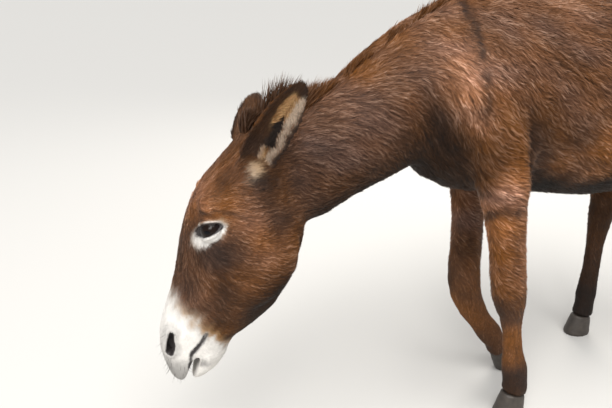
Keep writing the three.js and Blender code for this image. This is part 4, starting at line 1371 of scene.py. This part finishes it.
def coat_material(name, colours, roughness, sheen):
    """Fur that shines softly."""
    settings = {
        "Roughness": roughness,
        "Specular IOR Level": 0.17,
        "Sheen Weight": sheen,
        "Sheen Roughness": 0.45,
        "Sheen Tint": SHEEN_COLOUR,
    }
    material, n, shader = new_material(name, settings)
    fur = n.add("ShaderNodeGroup", node_tree=colours)
    n.feed(shader["Base Color"], fur.outputs["Color"])
    return material


def skin_material(colours, grain):
    """The skin under the fur, smoother where it is bare."""
    material, n, shader = new_material("skin_under_fur", {"Specular IOR Level": 0.35})
    fur = n.add("ShaderNodeGroup", node_tree=colours)
    n.feed(shader["Base Color"], fur.outputs["Color"])
    add_grain(n, grain, shader, 420, 0.5 * MM)
    n.feed(shader["Roughness"], n.number("MULTIPLY_ADD", fur.outputs["Bare"], -0.32, 0.78))
    return material


def eye_material():
    """The wet dark ball of an eye."""
    settings = {"Roughness": 0.2, "Specular IOR Level": 0.08, "Coat Weight": 0.16, "Coat Roughness": 0.04}
    material, n, shader = new_material("wet_eye", settings)
    ball = n.blend(n.mark("iris"), EYE_COLOURS["ball"], EYE_COLOURS["iris"])
    n.feed(shader["Base Color"], n.blend(n.mark("pupil"), ball, EYE_COLOURS["pupil"]))
    return material


def grained_material(name, grain, scale, depth, colours, roughness):
    """A material of two colours that follow its grain."""
    material, n, shader = new_material(name, {"Roughness": roughness})
    height = add_grain(n, grain, shader, scale, depth)
    n.feed(shader["Base Color"], n.blend(height, *colours))
    return material


# ---- The animal ---------------------------------------------------------------------------------------
colours = coat_colour_group()
grain = fine_grain_group()
fur = coat_material("short_fur", colours, 0.55, 0.05)
long_fur = coat_material("long_hair", colours, 0.5, 0.03)



def skin_fields(mesh, flesh, relief):
    """All that hair needs to know at each point of the skin, and the marks that the skin itself carries."""
    points, normals = points_of(mesh), normals_of(mesh)
    table = neighbours_of(mesh)
    part = part_of(points, flesh)
    marks = markings(points, normals, part, relief)
    for key in ("pale", "dark"):
        marks[key] = relax(marks[key], table, np.full(len(points), 0.6), 1)
    near_eye = np.min([np.linalg.norm(points - spot, axis=1) for spot in EYE_SPOT.values()], 0) / MM
    up_the_face = 360 - head_places(points)[:, 0] + 1000 * (LENGTH[part] > LENGTH[0])
    by_stripe = 1 - ease(12, 28, np.abs(points[:, 0] - STRIPE_X) / MM)
    small = 0.5 + 0.5 * ease(30, 60, near_eye)
    small *= 0.55 + 0.45 * ease(0, 90, up_the_face)
    small *= 1 - 0.35 * by_stripe * ease(0.74, 0.8, points[:, 2])
    even = np.ones(len(points))
    length, width, rise = (relax(size[part], table, even, ROUNDS["hair"]) for size in (LENGTH, WIDTH, RISE))
    skin = {
        "points": points,
        "normals": normals,
        "part": part,
        "faces": triangles_of(mesh),
        "lie": lie_of_coat(points, normals, part, table),
        "length": length * small,
        "width": width * np.sqrt(small),
        "rise": rise * small,
        "close": CLOSENESS[part] / small,
        **marks,
    }
    skin["mixed"] = ["points", "normals", "lie", "length", "width", "rise", *marks]
    skin["tree"] = BVHTree.FromPolygons(points.tolist(), skin["faces"].tolist())
    return skin, marks


skin_mesh, flesh, relief = shaped_skin()
skin, marks = skin_fields(skin_mesh, flesh, relief)
for key, values in marks.items():
    give(skin_mesh, key, values)
give(skin_mesh, "tone", np.clip(0.4 + 0.12 * ripple(skin["points"], 0.008, 31), 0, 1))
give(skin_mesh, "tip", np.full(len(skin["points"]), 0.1))
skin_mesh.materials.clear()
covered = [name for name in PARTS if not name.startswith("eye")]
settle("skin", skin_mesh, skin_material(colours, grain), "coat_brown", *covered)
for seed, (name, (parts, count, slot)) in enumerate(COATS.items(), 100):
    grow_coat(name, skin, parts, count, slot, seed, fur)
grow_mane(skin, long_fur)
grow_switch(long_fur)
grow_whiskers(skin, long_fur)
make_mouth_shade_sheet(grained_material("mouth_shade_sheet", grain, 160, 0.5 * MM, MOUTH_SHADE_COLOURS, 0.4))
wet = eye_material()
for seed, side in enumerate(SIDES, 200):
    grow_ear_hair(skin, side, seed, long_fur)
    grow_lashes(side, seed + 10, long_fur)
    make_eye(side, wet)
horn = grained_material("dark_horn", grain, 90, 0.6 * MM, HORN_COLOURS, 0.55)
for name in sorted(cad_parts):
    if name.startswith("hoof"):
        make_hoof(name, horn)

# ---- Floor, light and camera --------------------------------------------------------------------------
FLOOR_SIZE = 600.0
CAMERA_AT = (-1.0498, -0.986, 0.989)
CAMERA_PLAN = (0.460, 0.888)  # forward direction over the floor
CAMERA_PITCH = math.radians(18.9)
LENS = 35.3
SENSOR = 36.0

floor_mesh = build_mesh(
    "floor",
    np.array([[-1, -1, 0], [1, -1, 0], [1, 1, 0], [-1, 1, 0]]) * FLOOR_SIZE,
    np.array([[0, 1, 2, 3]]),
    smooth=False,
)
floor_paint, floor_nodes, floor_shader = new_material("pale_floor", {"Roughness": 0.9})
speck = floor_nodes.add("ShaderNodeTexNoise")
speck.inputs["Scale"].default_value = 3.0
floor_nodes.feed(floor_shader["Base Color"], floor_nodes.blend(speck.outputs["Fac"], *FLOOR_COLOURS))
new_object("floor", floor_mesh, floor_paint)


def add_light(name, kind, place, aim, power, colour, settings):
    """A light at a place that shines towards its aim."""
    light = bpy.data.lights.new(name, kind)
    light.energy = power
    light.color = colour
    for key, value in settings.items():
        setattr(light, key, value)
    lamp = new_object(name, light)
    lamp.location = place
    lamp.rotation_euler = (Vector(aim) - Vector(place)).to_track_quat("-Z", "Y").to_euler()


SOFTBOX = {"shape": "RECTANGLE", "size": 1.8, "size_y": 1.6}
WARM_WHITE = (1.0, 0.98, 0.95)
add_light("near_light", "AREA", (-2.4, -2.4, 3.0), (-0.3, 0, 0.7), 88, WARM_WHITE, SOFTBOX)
small_box = {**SOFTBOX, "size": 1.6}
add_light("back_light", "AREA", (2.2, 2.0, 2.6), (-0.1, 0, 0.8), 60, (1.0, 0.95, 0.88), small_box)
overhead = {"angle": math.radians(50)}
add_light("high_light", "SUN", (0, 0, 0), (0.12, 0.35, -0.93), 3.2, WARM_WHITE, overhead)
world = bpy.data.worlds.new("studio_air")
bpy.context.scene.world = world
world.use_nodes = True
air = world.node_tree.nodes["Background"].inputs
air["Color"].default_value = (0.93, 0.96, 1.0, 1)
air["Strength"].default_value = 0.48
bpy.context.scene.view_settings.view_transform = "Standard"

camera_data = bpy.data.cameras.new("camera")
camera_data.lens = LENS
camera_data.sensor_width = SENSOR
camera_data.clip_end = 2000
camera = new_object("camera", camera_data)
camera.location = CAMERA_AT
forward = Vector((*CAMERA_PLAN, 0)).normalized() * math.cos(CAMERA_PITCH)
forward.z = -math.sin(CAMERA_PITCH)
camera.rotation_euler = forward.to_track_quat("-Z", "Y").to_euler()
bpy.context.scene.camera = camera
